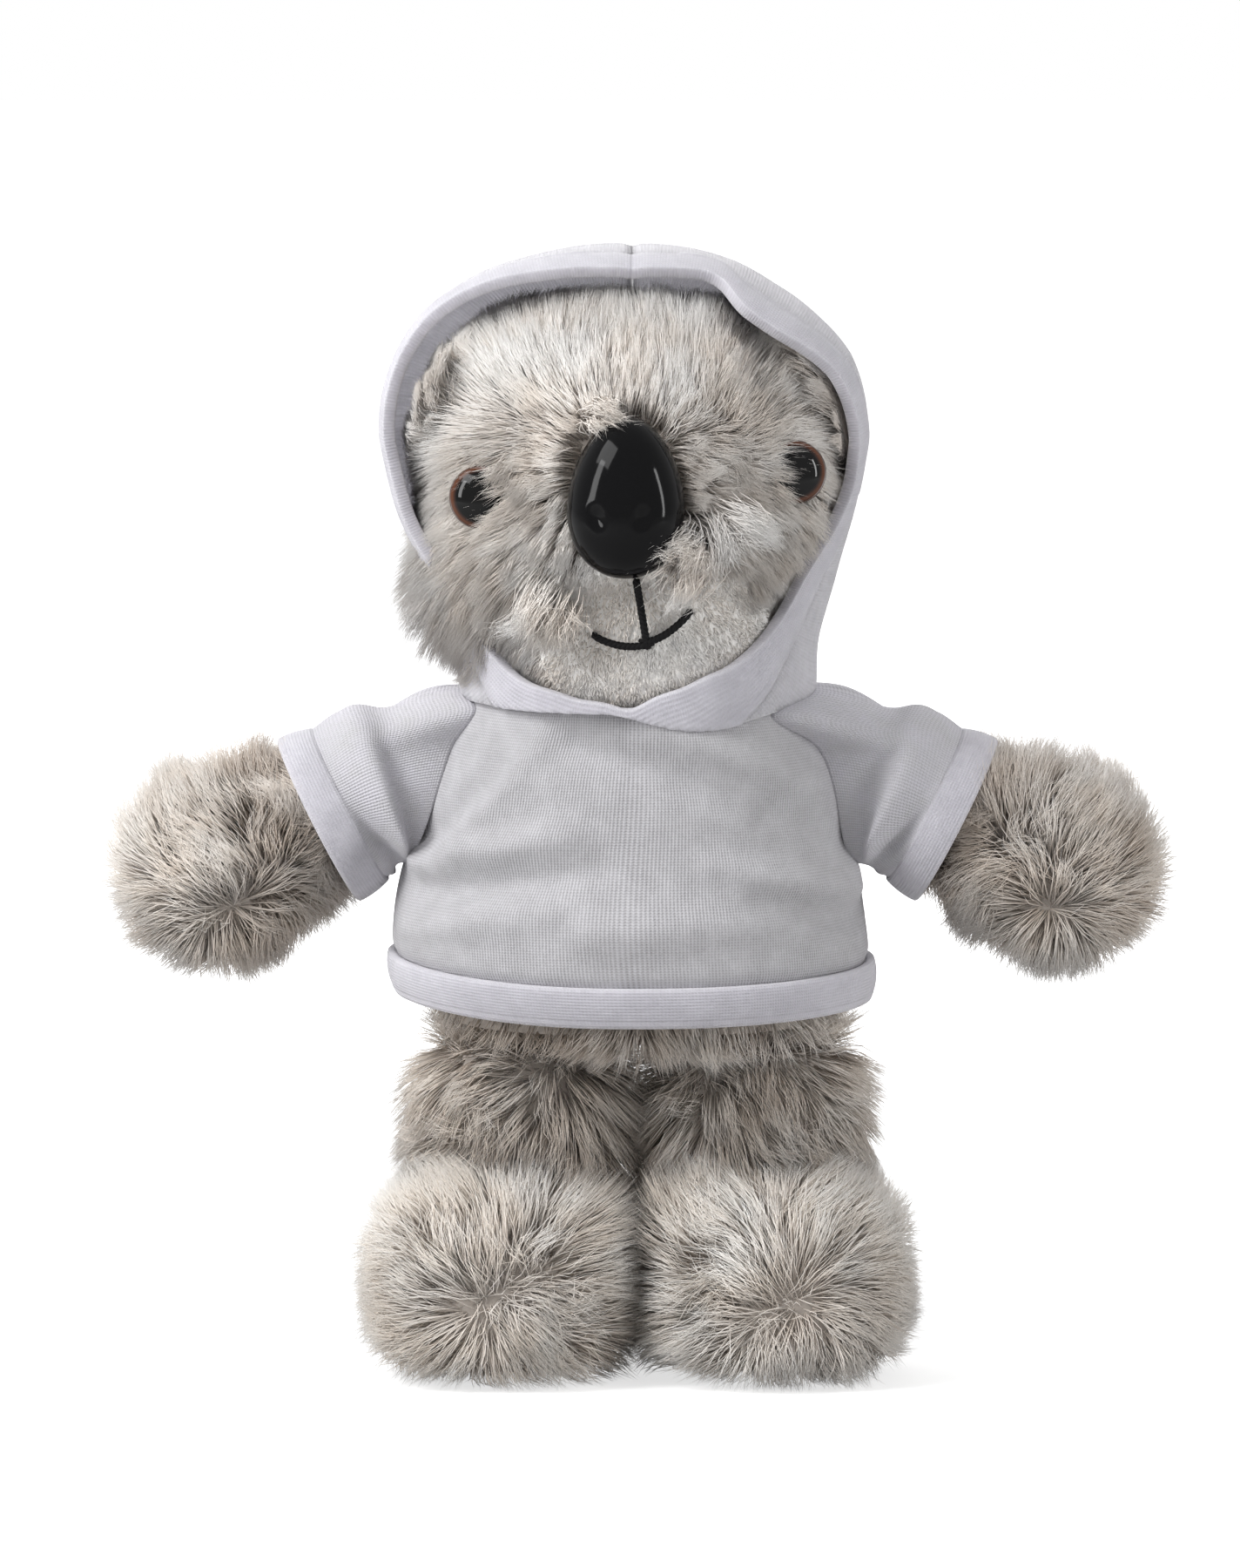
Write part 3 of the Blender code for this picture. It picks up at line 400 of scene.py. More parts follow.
def face_corners(mesh):
    """The vertex at each corner, and where each face's corners start and how many it has."""
    loops = np.empty(len(mesh.loops), np.int32)
    mesh.loops.foreach_get("vertex_index", loops)
    starts = np.empty(len(mesh.polygons), np.int32)
    mesh.polygons.foreach_get("loop_start", starts)
    return loops, starts, np.diff(np.append(starts, len(loops)))


def face_means(thing, values):
    """For each face the mean of its vertices' values."""
    loops, starts, counts = face_corners(thing.data)
    return np.add.reduceat(values[loops], starts) / counts


def set_map(thing, name, across, along, period=None):
    """A UV map from two values at each vertex. A face that passes the end of the period
    goes on past it instead of turning back."""
    mesh = thing.data
    layer = mesh.uv_layers.get(name) or mesh.uv_layers.new(name=name)
    loops, starts, counts = face_corners(mesh)
    u, v = across[loops], along[loops]
    if period:
        highest = np.repeat(np.maximum.reduceat(u, starts), counts)
        u = np.where(highest - u > period / 2, u + period, u)
    layer.data.foreach_set("uv", np.stack((u, v), axis=1).ravel())


def tube(name, around, rows):
    """An open upright tube from a cylinder, with its unit turn and row at each vertex."""
    nothing_selected()
    bpy.ops.mesh.primitive_cylinder_add(
        vertices=around, radius=1, depth=2, end_fill_type="NOTHING", location=(0, 0, 0)
    )
    thing = named(name)
    co = points_of(thing)
    ends = np.empty(len(thing.data.edges) * 2, np.int32)
    thing.data.edges.foreach_get("vertices", ends)
    ends = ends.reshape(-1, 2)
    upright = np.abs(co[ends[:, 0], 2] - co[ends[:, 1], 2]) > 1
    bpy.context.tool_settings.mesh_select_mode = (False, True, False)
    thing.data.polygons.foreach_set("select", np.zeros(len(thing.data.polygons), bool))
    thing.data.vertices.foreach_set("select", np.zeros(len(thing.data.vertices), bool))
    thing.data.edges.foreach_set("select", upright)
    bpy.ops.object.mode_set(mode="EDIT")
    bpy.ops.mesh.subdivide(number_cuts=rows)
    bpy.ops.object.mode_set(mode="OBJECT")
    co = points_of(thing)
    return thing, np.arctan2(co[:, 1], co[:, 0]), (co[:, 2] + 1) / 2


def thicken(thing, wall, rounded=0):
    """Gives a sheet its wall, inwards from its outside, and rounds its edges."""
    choose(thing)
    bpy.ops.object.mode_set(mode="EDIT")
    bpy.ops.mesh.select_all(action="SELECT")
    bpy.ops.mesh.normals_make_consistent(inside=False)
    bpy.ops.object.mode_set(mode="OBJECT")
    apply_modifier(thing, "SOLIDIFY", thickness=wall, offset=-1)
    if rounded:
        apply_modifier(thing, "SUBSURF", levels=rounded, render_levels=rounded)
    thing.data.shade_smooth()


# Materials

BLACK, FULL_TONE, WARM_TONE = (0, 0, 0, 1), (1, 1, 1, 1), (1, 0.955, 0.91, 1)


class Nodes:
    """A material's nodes, added and joined in the order in which they are written."""

    def __init__(self, name):
        self.material = bpy.data.materials.new(name)
        self.material.use_nodes = True
        self.tree = self.material.node_tree
        self.shader = self.tree.nodes["Principled BSDF"]

    def add(self, kind, *inputs, **settings):
        node = self.tree.nodes.new("ShaderNode" + kind)
        for key, value in settings.items():
            setattr(node, key, value)
        for i, value in enumerate(inputs):
            self.put(node.inputs[i], value)
        return node.outputs[0]

    def put(self, socket, value):
        if isinstance(value, bpy.types.NodeSocket):
            self.tree.links.new(value, socket)
        elif value is not None:
            socket.default_value = value

    def math(self, operation, a, b=None, c=None):
        return self.add("Math", a, b, c, operation=operation)

    def map(self, name):
        """The two coordinates of a UV map."""
        node = self.tree.nodes.new("ShaderNodeUVMap")
        node.uv_map = name
        parts = self.tree.nodes.new("ShaderNodeSeparateXYZ")
        self.tree.links.new(node.outputs[0], parts.inputs[0])
        return parts.outputs[0], parts.outputs[1]

    def place(self):
        node = self.tree.nodes.new("ShaderNodeTexCoord")
        return node.outputs["Object"]

    def noise(self, scale, detail=2.0, roughness=0.5, where=None):
        node = self.tree.nodes.new("ShaderNodeTexNoise")
        node.inputs["Scale"].default_value = scale
        node.inputs["Detail"].default_value = detail
        node.inputs["Roughness"].default_value = roughness
        self.tree.links.new(where or self.place(), node.inputs["Vector"])
        return node.outputs["Fac"]

    def blend(self, share, a, b, how="MIX"):
        node = self.tree.nodes.new("ShaderNodeMix")
        node.data_type = "RGBA"
        node.blend_type = how
        self.put(node.inputs["Factor"], share)
        self.put(node.inputs["A"], a)
        self.put(node.inputs["B"], b)
        return node.outputs["Result"]

    def colours(self, share, *stops):
        """A ramp of (place, colour) stops."""
        node = self.tree.nodes.new("ShaderNodeValToRGB")
        elements = node.color_ramp.elements
        while len(elements) < len(stops):
            elements.new(1)
        for element, (place, colour) in zip(elements, stops):
            element.position = place
            element.color = colour
        self.put(node.inputs[0], share)
        return node.outputs[0]

    def relief(self, height, depth, strength=1.0):
        node = self.tree.nodes.new("ShaderNodeBump")
        node.inputs["Distance"].default_value = depth
        node.inputs["Strength"].default_value = strength
        self.tree.links.new(height, node.inputs["Height"])
        self.tree.links.new(node.outputs[0], self.shader.inputs["Normal"])

    def finish(self, colour, roughness, **sockets):
        self.put(self.shader.inputs["Base Color"], colour)
        self.put(self.shader.inputs["Roughness"], roughness)
        for key, value in sockets.items():
            self.put(self.shader.inputs[key.replace("_", " ")], value)
        return self.material


def rgb(red, green, blue):
    """A colour from the values that a screen shows, 0 to 255."""
    channels = [value / 255 for value in (red, green, blue)]
    linear = [c / 12.92 if c < 0.04045 else ((c + 0.055) / 1.055) ** 2.4 for c in channels]
    return (*linear, 1)


def fur_material(name, root, middle, tip, dark):
    """Fur that pales towards its tips, with a tone for each strand that is partly its own and
    partly painted shade and painted light.
    """
    made = Nodes(name)
    tone, along = made.map("OFBake")
    shade = made.colours(along, (0, root), (0.4, middle), (1, tip))
    strand = made.colours(tone, (0, dark), (1, FULL_TONE))
    colour = made.blend(1.0, shade, strand, "MULTIPLY")
    warm = made.colours(made.noise(70, 2), (0.38, WARM_TONE), (0.62, FULL_TONE))
    colour = made.blend(1.0, colour, warm, "MULTIPLY")
    return made.finish(colour, 0.45, Specular_IOR_Level=0.5, Sheen_Weight=0.3)


def backing_material(name, colour, low=0.75):
    """The woven backing that the pile stands on, seen only between the locks."""
    made = Nodes(name)
    weave = made.noise(900, 3)
    shade = made.blend(weave, colour, tuple(low * c for c in colour[:3]) + (1,))
    made.relief(weave, 0.0004 * (1 - low))
    return made.finish(shade, 0.95, Specular_IOR_Level=0.1)


def jersey_material(
    name, colour, shadow, hole, holes, turned=False, lines=(), seams=(), through=0.0
):
    """Fine knitted jersey, painted darker in its holes and in the gaps between its wales: partly
    the body seen through them and partly painted shade. Its map gives metres across and along
    its wales, or the other way where it is turned. A line is stitched at each given distance
    along, and a seam runs at each distance across; the groove of each is painted darker, as
    painted shade."""
    made = Nodes(name)
    across, along = made.map("knit")
    first, second = (along, across) if turned else (across, along)
    wale = made.math("PINGPONG", made.math("MULTIPLY", first, 2 / KNIT), 1)
    course = made.math("MULTIPLY", second, math.tau / (0.9 * KNIT))
    stitch = made.math("SINE", made.math("MULTIPLY_ADD", wale, 1.2, course))
    height = made.math("MULTIPLY_ADD", stitch, 0.22, wale)
    fuzz = made.noise(2600, 3, 0.7)
    height = made.math("MULTIPLY_ADD", fuzz, 0.5, height)
    gap = made.math("SUBTRACT", 1.0, wale)
    gap = made.math("MULTIPLY", gap, made.math("MULTIPLY_ADD", stitch, 0.4, 0.6))
    gap = made.math("MULTIPLY", gap, made.math("MULTIPLY_ADD", fuzz, 0.9, 0.3))
    slub = made.colours(made.noise(190, 4, 0.7), (0.30, BLACK), (0.70, FULL_TONE))
    shade = made.blend(slub, shadow, colour)
    thin = made.math("MULTIPLY_ADD", slub, -0.45, 1.0)
    # The holes and the gaps between the wales are painted towards the hole colour: partly the body
    # seen through, partly painted shade
    shade = made.blend(made.math("MULTIPLY", made.math("MULTIPLY", gap, thin), holes), shade, hole)
    # Each stitched line and seam is painted darker in its groove, as painted shade
    for value, places in ((along, lines), (across, seams)):
        for place in places:
            off = made.math("ABSOLUTE", made.math("SUBTRACT", value, place))
            groove = made.math("MULTIPLY", off, 1 / 0.0005)
            groove = made.math("MINIMUM", groove, 1.0)
            height = made.math("MULTIPLY_ADD", groove, 1.8, height)
            shade = made.blend(groove, made.blend(0.5, shade, shadow), shade)
    made.relief(height, 0.00016, 0.8)
    made.shader.inputs["Subsurface Radius"].default_value = (1, 1, 1)
    return made.finish(
        shade, 0.9, Specular_IOR_Level=0.2, Sheen_Weight=0.2,
        Subsurface_Weight=through, Subsurface_Scale=0.0065 * through,
    )


def thread_material():
    made = Nodes("black_thread")
    lay = made.noise(3000, 2)
    colour = made.blend(lay, rgb(5, 5, 6), rgb(20, 19, 20))
    made.relief(lay, 0.0001)
    return made.finish(colour, 0.7, Specular_IOR_Level=0.15)


def nose_material():
    """Polished moulded plastic with a faint unevenness."""
    made = Nodes("nose_black")
    wave = made.noise(160, 2)
    scuff = made.noise(1400, 3)
    colour = made.blend(scuff, rgb(4, 4, 5), rgb(10, 10, 12))
    made.relief(wave, 0.0003, 0.15)
    roughness = made.math("MULTIPLY_ADD", scuff, 0.06, 0.05)
    return made.finish(colour, roughness, Specular_IOR_Level=0.10)


def eye_material():
    """A black pupil with a brown ring round it. Its map gives the distance from the middle."""
    made = Nodes("eye_gloss")
    out, _ = made.map("ring")
    streak = made.noise(1500, 2)
    out = made.math("MULTIPLY_ADD", streak, 0.03, out)
    colour = made.colours(
        out,
        (0.76, rgb(4, 4, 4)),
        (0.82, rgb(44, 26, 20)),
        (0.90, rgb(96, 58, 40)),
        (0.98, rgb(70, 42, 30)),
    )
    return made.finish(colour, 0.05, Specular_IOR_Level=0.18)


def clip_material():
    made = Nodes("clip_plastic")
    grain = made.noise(800, 2)
    colour = made.blend(grain, rgb(214, 214, 210), rgb(228, 228, 224))
    made.relief(grain, 0.0001)
    return made.finish(colour, 0.4)


WHITE, WHITE_SHADE = rgb(208, 206, 214), rgb(197, 195, 203)
THIN, THIN_SHADE = rgb(204, 203, 207), rgb(193, 192, 196)
HOLE = rgb(118, 114, 114)
DARK_STRAND = (0.60, 0.55, 0.51, 1)
head_fur = fur_material(
    "head_fur", rgb(232, 225, 218), rgb(248, 244, 240), rgb(255, 254, 252),
    (0.50, 0.46, 0.425, 1),
)
body_fur = fur_material(
    "body_fur", rgb(208, 198, 188), rgb(231, 224, 216), rgb(249, 246, 242),
    DARK_STRAND,
)
leg_fur = fur_material(
    "leg_fur", rgb(204, 194, 184), rgb(235, 228, 220), rgb(250, 247, 243),
    DARK_STRAND,
)
foot_fur = fur_material(
    "foot_fur", rgb(226, 218, 210), rgb(242, 237, 231), rgb(251, 250, 247),
    (0.68, 0.64, 0.60, 1),
)
white_pile = fur_material(
    "white_pile", rgb(244, 241, 237), rgb(250, 248, 245), rgb(254, 253, 251),
    (0.86, 0.85, 0.84, 1),
)
grey_backing = backing_material("grey_backing", rgb(186, 177, 169))
white_backing = backing_material("white_backing", rgb(252, 250, 247), 0.92)
jersey = jersey_material("white_jersey", THIN, THIN_SHADE, HOLE, 0.95)
sleeve_jersey = jersey_material("sleeve_jersey", WHITE, THIN, HOLE, 0.6)
hood_jersey = jersey_material(
    "hood_jersey", rgb(214, 211, 221), WHITE_SHADE, HOLE, 0.3, through=1.0
)
band_jersey = jersey_material(
    "folded_jersey", WHITE, WHITE_SHADE, HOLE, 0.25, turned=True, lines=(0.0066,), seams=(0.0,),
    through=0.6,
)
black_thread = thread_material()


# Pieces


def dress(thing, finish, slot, *bodies):
    """Gives a piece its finish and the body that it rides on. Its slot is not used."""
    thing.data.materials.clear()
    thing.data.materials.append(finish)
    for body in bodies:
        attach(thing, body)
    return thing


def skin(name, node, depth, finish, slot, body, *inside):
    """A smooth stuffed skin this deep below the outside of a solid, which it replaces."""
    thing = copy_of(bpy.data.objects[node], name)
    choose(thing)
    bpy.ops.object.mode_set(mode="EDIT")
    bpy.ops.mesh.select_all(action="SELECT")
    bpy.ops.mesh.convex_hull()
    bpy.ops.object.mode_set(mode="OBJECT")
    apply_modifier(thing, "REMESH", mode="VOXEL", voxel_size=VOXEL)
    apply_modifier(thing, "SMOOTH", factor=0.5, iterations=8)
    apply_modifier(thing, "DISPLACE", strength=-depth, mid_level=0, direction="NORMAL")
    apply_modifier(thing, "SMOOTH", factor=0.5, iterations=4)
    thing.data.shade_smooth()
    dress(thing, finish, slot, body)
    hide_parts(node, *inside)
    return thing


# Fur


def roots(thing, count, rng, allowed):
    """Points spread over the part of a skin that allowed() keeps, with their normals."""
    mesh = thing.data
    mesh.calc_loop_triangles()
    corners = np.empty(len(mesh.loop_triangles) * 3, np.int32)
    mesh.loop_triangles.foreach_get("vertices", corners)
    corners = corners.reshape(-1, 3)
    normals = np.empty(len(mesh.vertices) * 3)
    mesh.vertices.foreach_get("normal", normals)
    normals = normals.reshape(-1, 3)[corners]
    places = points_of(thing)[corners]
    sides = places[:, 1:] - places[:, :1]
    area = np.linalg.norm(np.cross(sides[:, 0], sides[:, 1]), axis=1) / 2
    weight = area * allowed(places.mean(axis=1))
    total = weight.sum()
    picked = rng.choice(len(corners), size=count, p=weight / total)
    a, b = rng.random((2, count))
    over = a + b > 1
    a, b = np.where(over, 1 - a, a), np.where(over, 1 - b, b)
    mix = np.stack((1 - a - b, a, b), axis=1)[..., None]
    return (places[picked] * mix).sum(1), unit((normals[picked] * mix).sum(1)), total


def strand_lines(place, normal, style, rng, jitter, shares, spread=0.15):
    """The points of strands, which start off as the style's first rise says, stand or lie
    as its second says at their tips, and run along its flow between."""
    flow, reach, rise, lie = style
    flow = flow + rng.normal(0, jitter, flow.shape)
    flow = unit(flow - normal * (flow * normal).sum(1, keepdims=True))
    start = unit(normal * rise[:, None] + flow * (1 - rise[:, None]))
    end = unit(normal * lie[:, None] + flow * (1 - lie[:, None]))
    reach = reach * rng.uniform(0.97 - spread, 0.97 + spread, len(reach))
    s = shares[None, :, None]
    curve = start[:, None] * (s - s * s / 2) + end[:, None] * (s * s / 2)
    line = place[:, None] + reach[:, None, None] * curve
    line[:, :, 2] -= 0.06 * reach[:, None] * shares[None, :] ** 2
    return line


def strand_mesh(name, lines, thick, tone, shares, rng):
    """Closed three-sided strands along the lines, which taper to a point."""
    count, steps = lines.shape[:2]
    reference = unit(rng.normal(size=(count, 1, 3)))
    along = unit(np.gradient(lines, axis=1))
    side = unit(np.cross(along, reference))
    other = np.cross(along, side)
    widths = (1 - shares[:-1] ** 1.6) * 0.94 + 0.06
    radius = (thick[:, None] * widths[None, :])[..., None]
    turns = [math.tau * k / 3 for k in range(3)]
    rings = np.stack(
        [
            lines[:, :-1] + radius * (side[:, :-1] * math.cos(a) + other[:, :-1] * math.sin(a))
            for a in turns
        ],
        axis=2,
    )
    ring_points = 3 * (steps - 1)
    each = ring_points + 1
    points = np.concatenate((rings.reshape(count, ring_points, 3), lines[:, -1:]), axis=1)
    faces = [(2, 1, 0)]
    for step in range(steps - 2):
        low, high = 3 * step, 3 * step + 3
        for k in range(3):
            n = (k + 1) % 3
            faces += [(low + k, low + n, high + n), (low + k, high + n, high + k)]
    last = ring_points - 3
    faces += [(last + k, last + (k + 1) % 3, ring_points) for k in range(3)]
    faces = np.array(faces, np.int32)
    all_faces = (faces[None] + each * np.arange(count, dtype=np.int32)[:, None, None]).reshape(-1)
    mesh = bpy.data.meshes.new(name)
    mesh.vertices.add(count * each)
    mesh.vertices.foreach_set("co", points.ravel())
    mesh.loops.add(len(all_faces))
    mesh.loops.foreach_set("vertex_index", all_faces)
    mesh.polygons.add(len(all_faces) // 3)
    mesh.polygons.foreach_set("loop_start", np.arange(0, len(all_faces), 3, dtype=np.int32))
    mesh.update(calc_edges=True)
    mesh.validate()
    along_share = np.append(np.repeat(shares[:-1], 3), shares[-1])
    u = np.repeat(tone, each)[all_faces]
    v = np.tile(along_share, count)[all_faces]
    layer = mesh.uv_layers.new(name="OFBake")
    layer.data.foreach_set("uv", np.stack((u, v), axis=1).ravel())
    mesh.shade_smooth()
    thing = bpy.data.objects.new(name, mesh)
    bpy.context.scene.collection.objects.link(thing)
    return thing


def grow_fur(
    name, pelt, body, finish, slot, count, allowed, style, seed,
    steps=3, lock=0.0026, hold=0.5, thick=0.00012, jitter=(0.38, 0.2), curl=0.05, keep=None,
    lift=0.0,
):
    """Fur on a skin. Its strands gather into locks: each leans to the line of its lock.
    allowed() gives its density at each place, keep() moves the points of its strands, and
    they start this lift above the skin."""
    rng = np.random.default_rng(seed)
    shares = np.linspace(0, 1, steps)
    place, normal, total = roots(pelt, count, rng, allowed)
    lock_count = max(int(total / lock**2), 12)
    lock_place, lock_normal, _ = roots(pelt, lock_count, rng, allowed)
    place = place + normal * lift
    lock_place = lock_place + lock_normal * lift
    tree = KDTree(lock_count)
    for i, point in enumerate(lock_place):
        tree.insert(point, i)
    tree.balance()
    mine = np.array([tree.find(point)[1] for point in place])
    own_style, style_tone = style(place, normal)
    lock_style, _ = style(lock_place, lock_normal)
    own = strand_lines(place, normal, own_style, rng, jitter[1], shares)
    led = strand_lines(lock_place, lock_normal, lock_style, rng, jitter[0], shares, 0.27)
    pinch = rng.uniform(0.4, 0.9, lock_count)[mine][:, None, None]
    s = shares[None, :, None]
    aside = (place - lock_place[mine])[:, None]
    gathered = led[mine] + aside * (1 - pinch * s)
    pull = hold * np.minimum(1.6 * s, 1) * (rng.random((count, 1, 1)) > 0.07)
    lines = own + pull * (gathered - own)
    wander = rng.normal(0, 1, (count, steps, 3)) * own_style[1][:, None, None] * curl
    lines += wander * s
    if keep:
        lines = keep(lines.reshape(-1, 3)).reshape(lines.shape)
    lines[:, :, 2] = np.maximum(lines[:, :, 2], FLOOR_GAP)
    lock_tone = rng.normal(0, 0.16, lock_count)[mine]
    # The style's tone holds painted shade and painted light in some places
    tone = np.clip(style_tone + lock_tone + rng.normal(0, 0.10, count), 0.02, 0.98)
    widths = thick * rng.uniform(0.75, 1.2, count)
    thing = strand_mesh(name, lines, widths, tone, shares, rng)
    return dress(thing, finish, slot, body)


def away_from(point, places, normals):
    """The direction along the skin that leads away from a point."""
    off = places - np.array(point)
    return unit(off - normals * (off * normals).sum(1, keepdims=True))


def everywhere(places):
    return np.ones(len(places))


def even(places, *values):
    """For each value an array that has it at every place."""
    return [np.full(len(places), value) for value in values]


def waves(places):
    """A gentle unevenness of the way that fur is combed."""
    x, y, z = (places * 260).T
    parts = np.sin(x + 0.7 * z), 0.5 * np.sin(y + 1.3 * x), np.cos(0.9 * z - 0.8 * x + 1)
    return np.stack(parts, axis=1)


def direction(x, y, z, places):
    """The same direction at every place."""
    return np.broadcast_to(np.array((x, y, z), float), places.shape).copy()


# The head


head_skin = skin("head_skin", "head", 0.0048, grey_backing, "head_fur", "head", "head_stuffing")


def crease(points):
    """How much a point lies in the gap between the crown and the left ear, which is set back and
    whose fur is painted darker there as painted shade.
    """
    x, y, z = points.T
    return bump(x, 0.0222 + 0.35 * (0.195 - z), 0.0024) * ramp(z, 0.178, 0.188)


def settle_head(thing):
    """Lets the chin down into the hood's collar, which its stuffing fills, and lowers the
    crown to leave room for its fur."""
    points = points_of(thing)
    x, y, z = points.T
    low_z, low_width, low_depth = CHIN_STATIONS[0]
    high_z, high_width, high_depth = CHIN_STATIONS[1]
    share = np.clip((z - low_z) / (high_z - low_z), 0, 1)
    width = low_width + (high_width - low_width) * share
    depth = low_depth + (high_depth - low_depth) * share
    out = (np.abs(x) / width) ** HEAD_ROUND + (np.abs(y) / depth) ** HEAD_ROUND
    grow = 1 / np.clip(out ** (1 / HEAD_ROUND), 0.4, 1)
    grow = 1 + (grow - 1) * ramp(-y, 0.001, 0.012) * (1 - ramp(z, high_z - 0.005, high_z + 0.006))
    points[:, 0] *= grow
    points[:, 1] *= grow
    points[:, 2] -= CHIN_DROP * ramp(-y, 0.001, 0.012) * (1 - ramp(z, 0.132, 0.146))
    across = points[:, 0] - DOME_MIDDLE[0]
    up = np.maximum(points[:, 2] - DOME_MIDDLE[1], 0)
    width = np.where(across > 0, SKULL_HALF[0], SKULL_RIGHT)
    out = (np.abs(across) / width) ** DOME_ROUND + (up / SKULL_HALF[1]) ** DOME_ROUND
    shrink = 1 / np.maximum(out ** (1 / DOME_ROUND), 1)
    shrink = 1 + (shrink - 1) * ramp(up, 0, 0.010)
    points[:, 0] = DOME_MIDDLE[0] + across * shrink
    points[:, 2] -= up * (1 - shrink)
    points[:, 1] += 0.0075 * crease(points) * ramp(-points[:, 1], 0, 0.008)
    put_points(thing, points)
    apply_modifier(thing, "REMESH", mode="VOXEL", voxel_size=VOXEL)
    apply_modifier(thing, "SMOOTH", factor=0.5, iterations=5)
    thing.data.shade_smooth()


settle_head(head_skin)
nose_front = face_point(*NOSE_MIDDLE)
eye_places = {
    label: face_point(side * EYE_X, HEAD_MIDDLE + EYE_LIFTS[label]) for side, label in SIDES
}


def patch_share(places, wider=0.0):
    """Below 1 on the chin's patch and above 1 outside it."""
    across = np.abs(places[:, 0] - PATCH_MIDDLE[0]) / (PATCH_HALF[0] + wider)
    upward = np.abs(places[:, 2] - PATCH_MIDDLE[1]) / (PATCH_HALF[1] + wider)
    return across**HEAD_ROUND + upward**HEAD_ROUND


def in_face(places):
    """1 where the head's fur shows in the hood's opening, outside the eyes and nose."""
    x, y, z = places.T
    across, up = x - HOOD_AXIS[0], z - HOOD_AXIS[1]
    angle = np.arctan2(np.hypot(across, up), -y)
    shown = angle < rim_angle(hood_turn(places)) + math.radians(16)
    nose = ((x - NOSE_MIDDLE[0]) / (0.44 * NOSE_WIDTH)) ** 2
    nose += ((z - NOSE_MIDDLE[1]) / (0.45 * NOSE_HEIGHT)) ** 2
    clear = (nose > 1) | (y > -0.02)
    for middle in eye_places.values():
        clear &= np.linalg.norm(places - np.array(middle), axis=1) > 1.15 * EYE_RADIUS
    beside = ramp(np.abs(x - NOSE_MIDDLE[0]), 0.009, 0.014)
    beside *= ramp(z, PATCH_MIDDLE[1] - 0.002, PATCH_MIDDLE[1] + 0.006)
    clear &= (patch_share(places) > 0.85 - 0.45 * beside) | (y > -0.012)
    return (shown & clear & (z > NECK + 0.001)).astype(float)


def head_style(places, normals):
    """Fur runs away from the nose, stands up on the forehead and hangs on the cheeks."""
    x, y, z = places.T
    flow = 0.7 * away_from(nose_front, places, normals)
    flow += 0.3 * waves(places)
    brow = ramp(z, HEAD_MIDDLE + 0.018, HEAD_MIDDLE + 0.032)
    flow += direction(0, 0, 1.5, places) * brow[:, None]
    flow -= direction(0, 0, 0.6, places) * (1 - brow)[:, None]
    low = 1 - ramp(z, HEAD_MIDDLE - 0.006, HEAD_MIDDLE + 0.010)
    cheek = low * ramp(np.abs(x), 0.010, 0.028)
    outward = direction(0, 0.1, -0.9, places)
    outward[:, 0] = np.sign(x) * np.where(x < 0, 0.7, 0.2)
    flow += outward * 1.2 * cheek[:, None]
    off = np.hypot((x - NOSE_MIDDLE[0]) / NOSE_WIDTH, (z - NOSE_MIDDLE[1]) / NOSE_HEIGHT)
    beside_nose = 1 - ramp(off, 0.5, 0.78)
    from_nose = np.linalg.norm(places - np.array(nose_front), axis=1)
    reach = 0.0080 + 0.0040 * ramp(from_nose, 0.012, 0.036)
    reach += np.where(x < 0, 0.0050, 0.0004) * cheek
    reach -= 0.0008 * beside_nose
    inside = np.zeros(len(places))
    for side, label in SIDES:
        middle = np.array(eye_places[label])
        outside = ramp(side * (x - middle[0]), -0.002, 0.004)
        near = bump(np.linalg.norm(places - middle, axis=1), 0, 0.010)
        reach = reach * (1 - 0.5 * near * outside)
        reach = reach - 0.0010 * near * (1 - outside)
        inside = np.maximum(inside, near * (1 - outside))
    aside = ramp(np.abs(x), 0.027, 0.035)
    corner = ramp(-x, 0.016, 0.028) * ramp(z, 0.170, 0.182)
    flow[:, 0] -= 0.9 * corner
    reach += 0.0035 * corner
    patch = patch_share(places)
    reach = reach * (0.55 + 0.45 * ramp(patch, 0.8, 2.4))
    rise = 0.50 - 0.10 * cheek + 0.2 * beside_nose + 0.22 * aside + 0.3 * inside
    lie = 0.20 + 0.08 * brow - 0.02 * cheek + 0.25 * beside_nose + 0.22 * aside + 0.3 * inside
    lie = np.minimum(lie + 0.25 * corner, 0.75)
    # The fur beside the nose is painted lighter, as painted light that takes out the nose's shade
    # on it, and the crease by the left ear is painted darker, as painted shade
    tone = 0.54 + 0.40 * brow - 0.10 * cheek + 0.15 * beside_nose - 0.9 * crease(places)
    tone += 0.14 * np.sin(160 * x + 40 * z) * np.cos(140 * z - 60 * x) * (1 - 0.6 * brow)
    return (flow, reach, rise, lie), tone


def beyond_hood(points, room):
    """The way out to each point, and how far it lies past the place that it has to keep to,
    which is this far below the hood's outside."""
    off = points - HOOD_ORIGIN
    far = np.linalg.norm(off, axis=1)
    way = off / far[:, None]
    surface = hood_surface(way, hood_turn(points))
    inner = np.linalg.norm(surface - HOOD_ORIGIN, axis=1) - room
    return way, np.maximum(far - inner, 0)


def inside_hood(points):
    """Keeps fur behind the hood's edge inside it, but lets the right cheek's spill over it,
    and holds the forehead's down to its outline."""
    points = under_dome(points)
    way, over = beyond_hood(points, FACE_ROOM)
    behind = ramp(np.arccos(-way[:, 1]) - rim_angle(hood_turn(points)), -0.10, 0.02)
    spill = ramp(-points[:, 0], 0.004, 0.016) * (1 - ramp(points[:, 2], 0.156, 0.170))
    points = points - way * (over * behind * (1 - spill))[:, None]
    points[:, 2] = np.maximum(points[:, 2], FUR_LOW + 0.2 * (points[:, 2] - FUR_LOW))
    return points


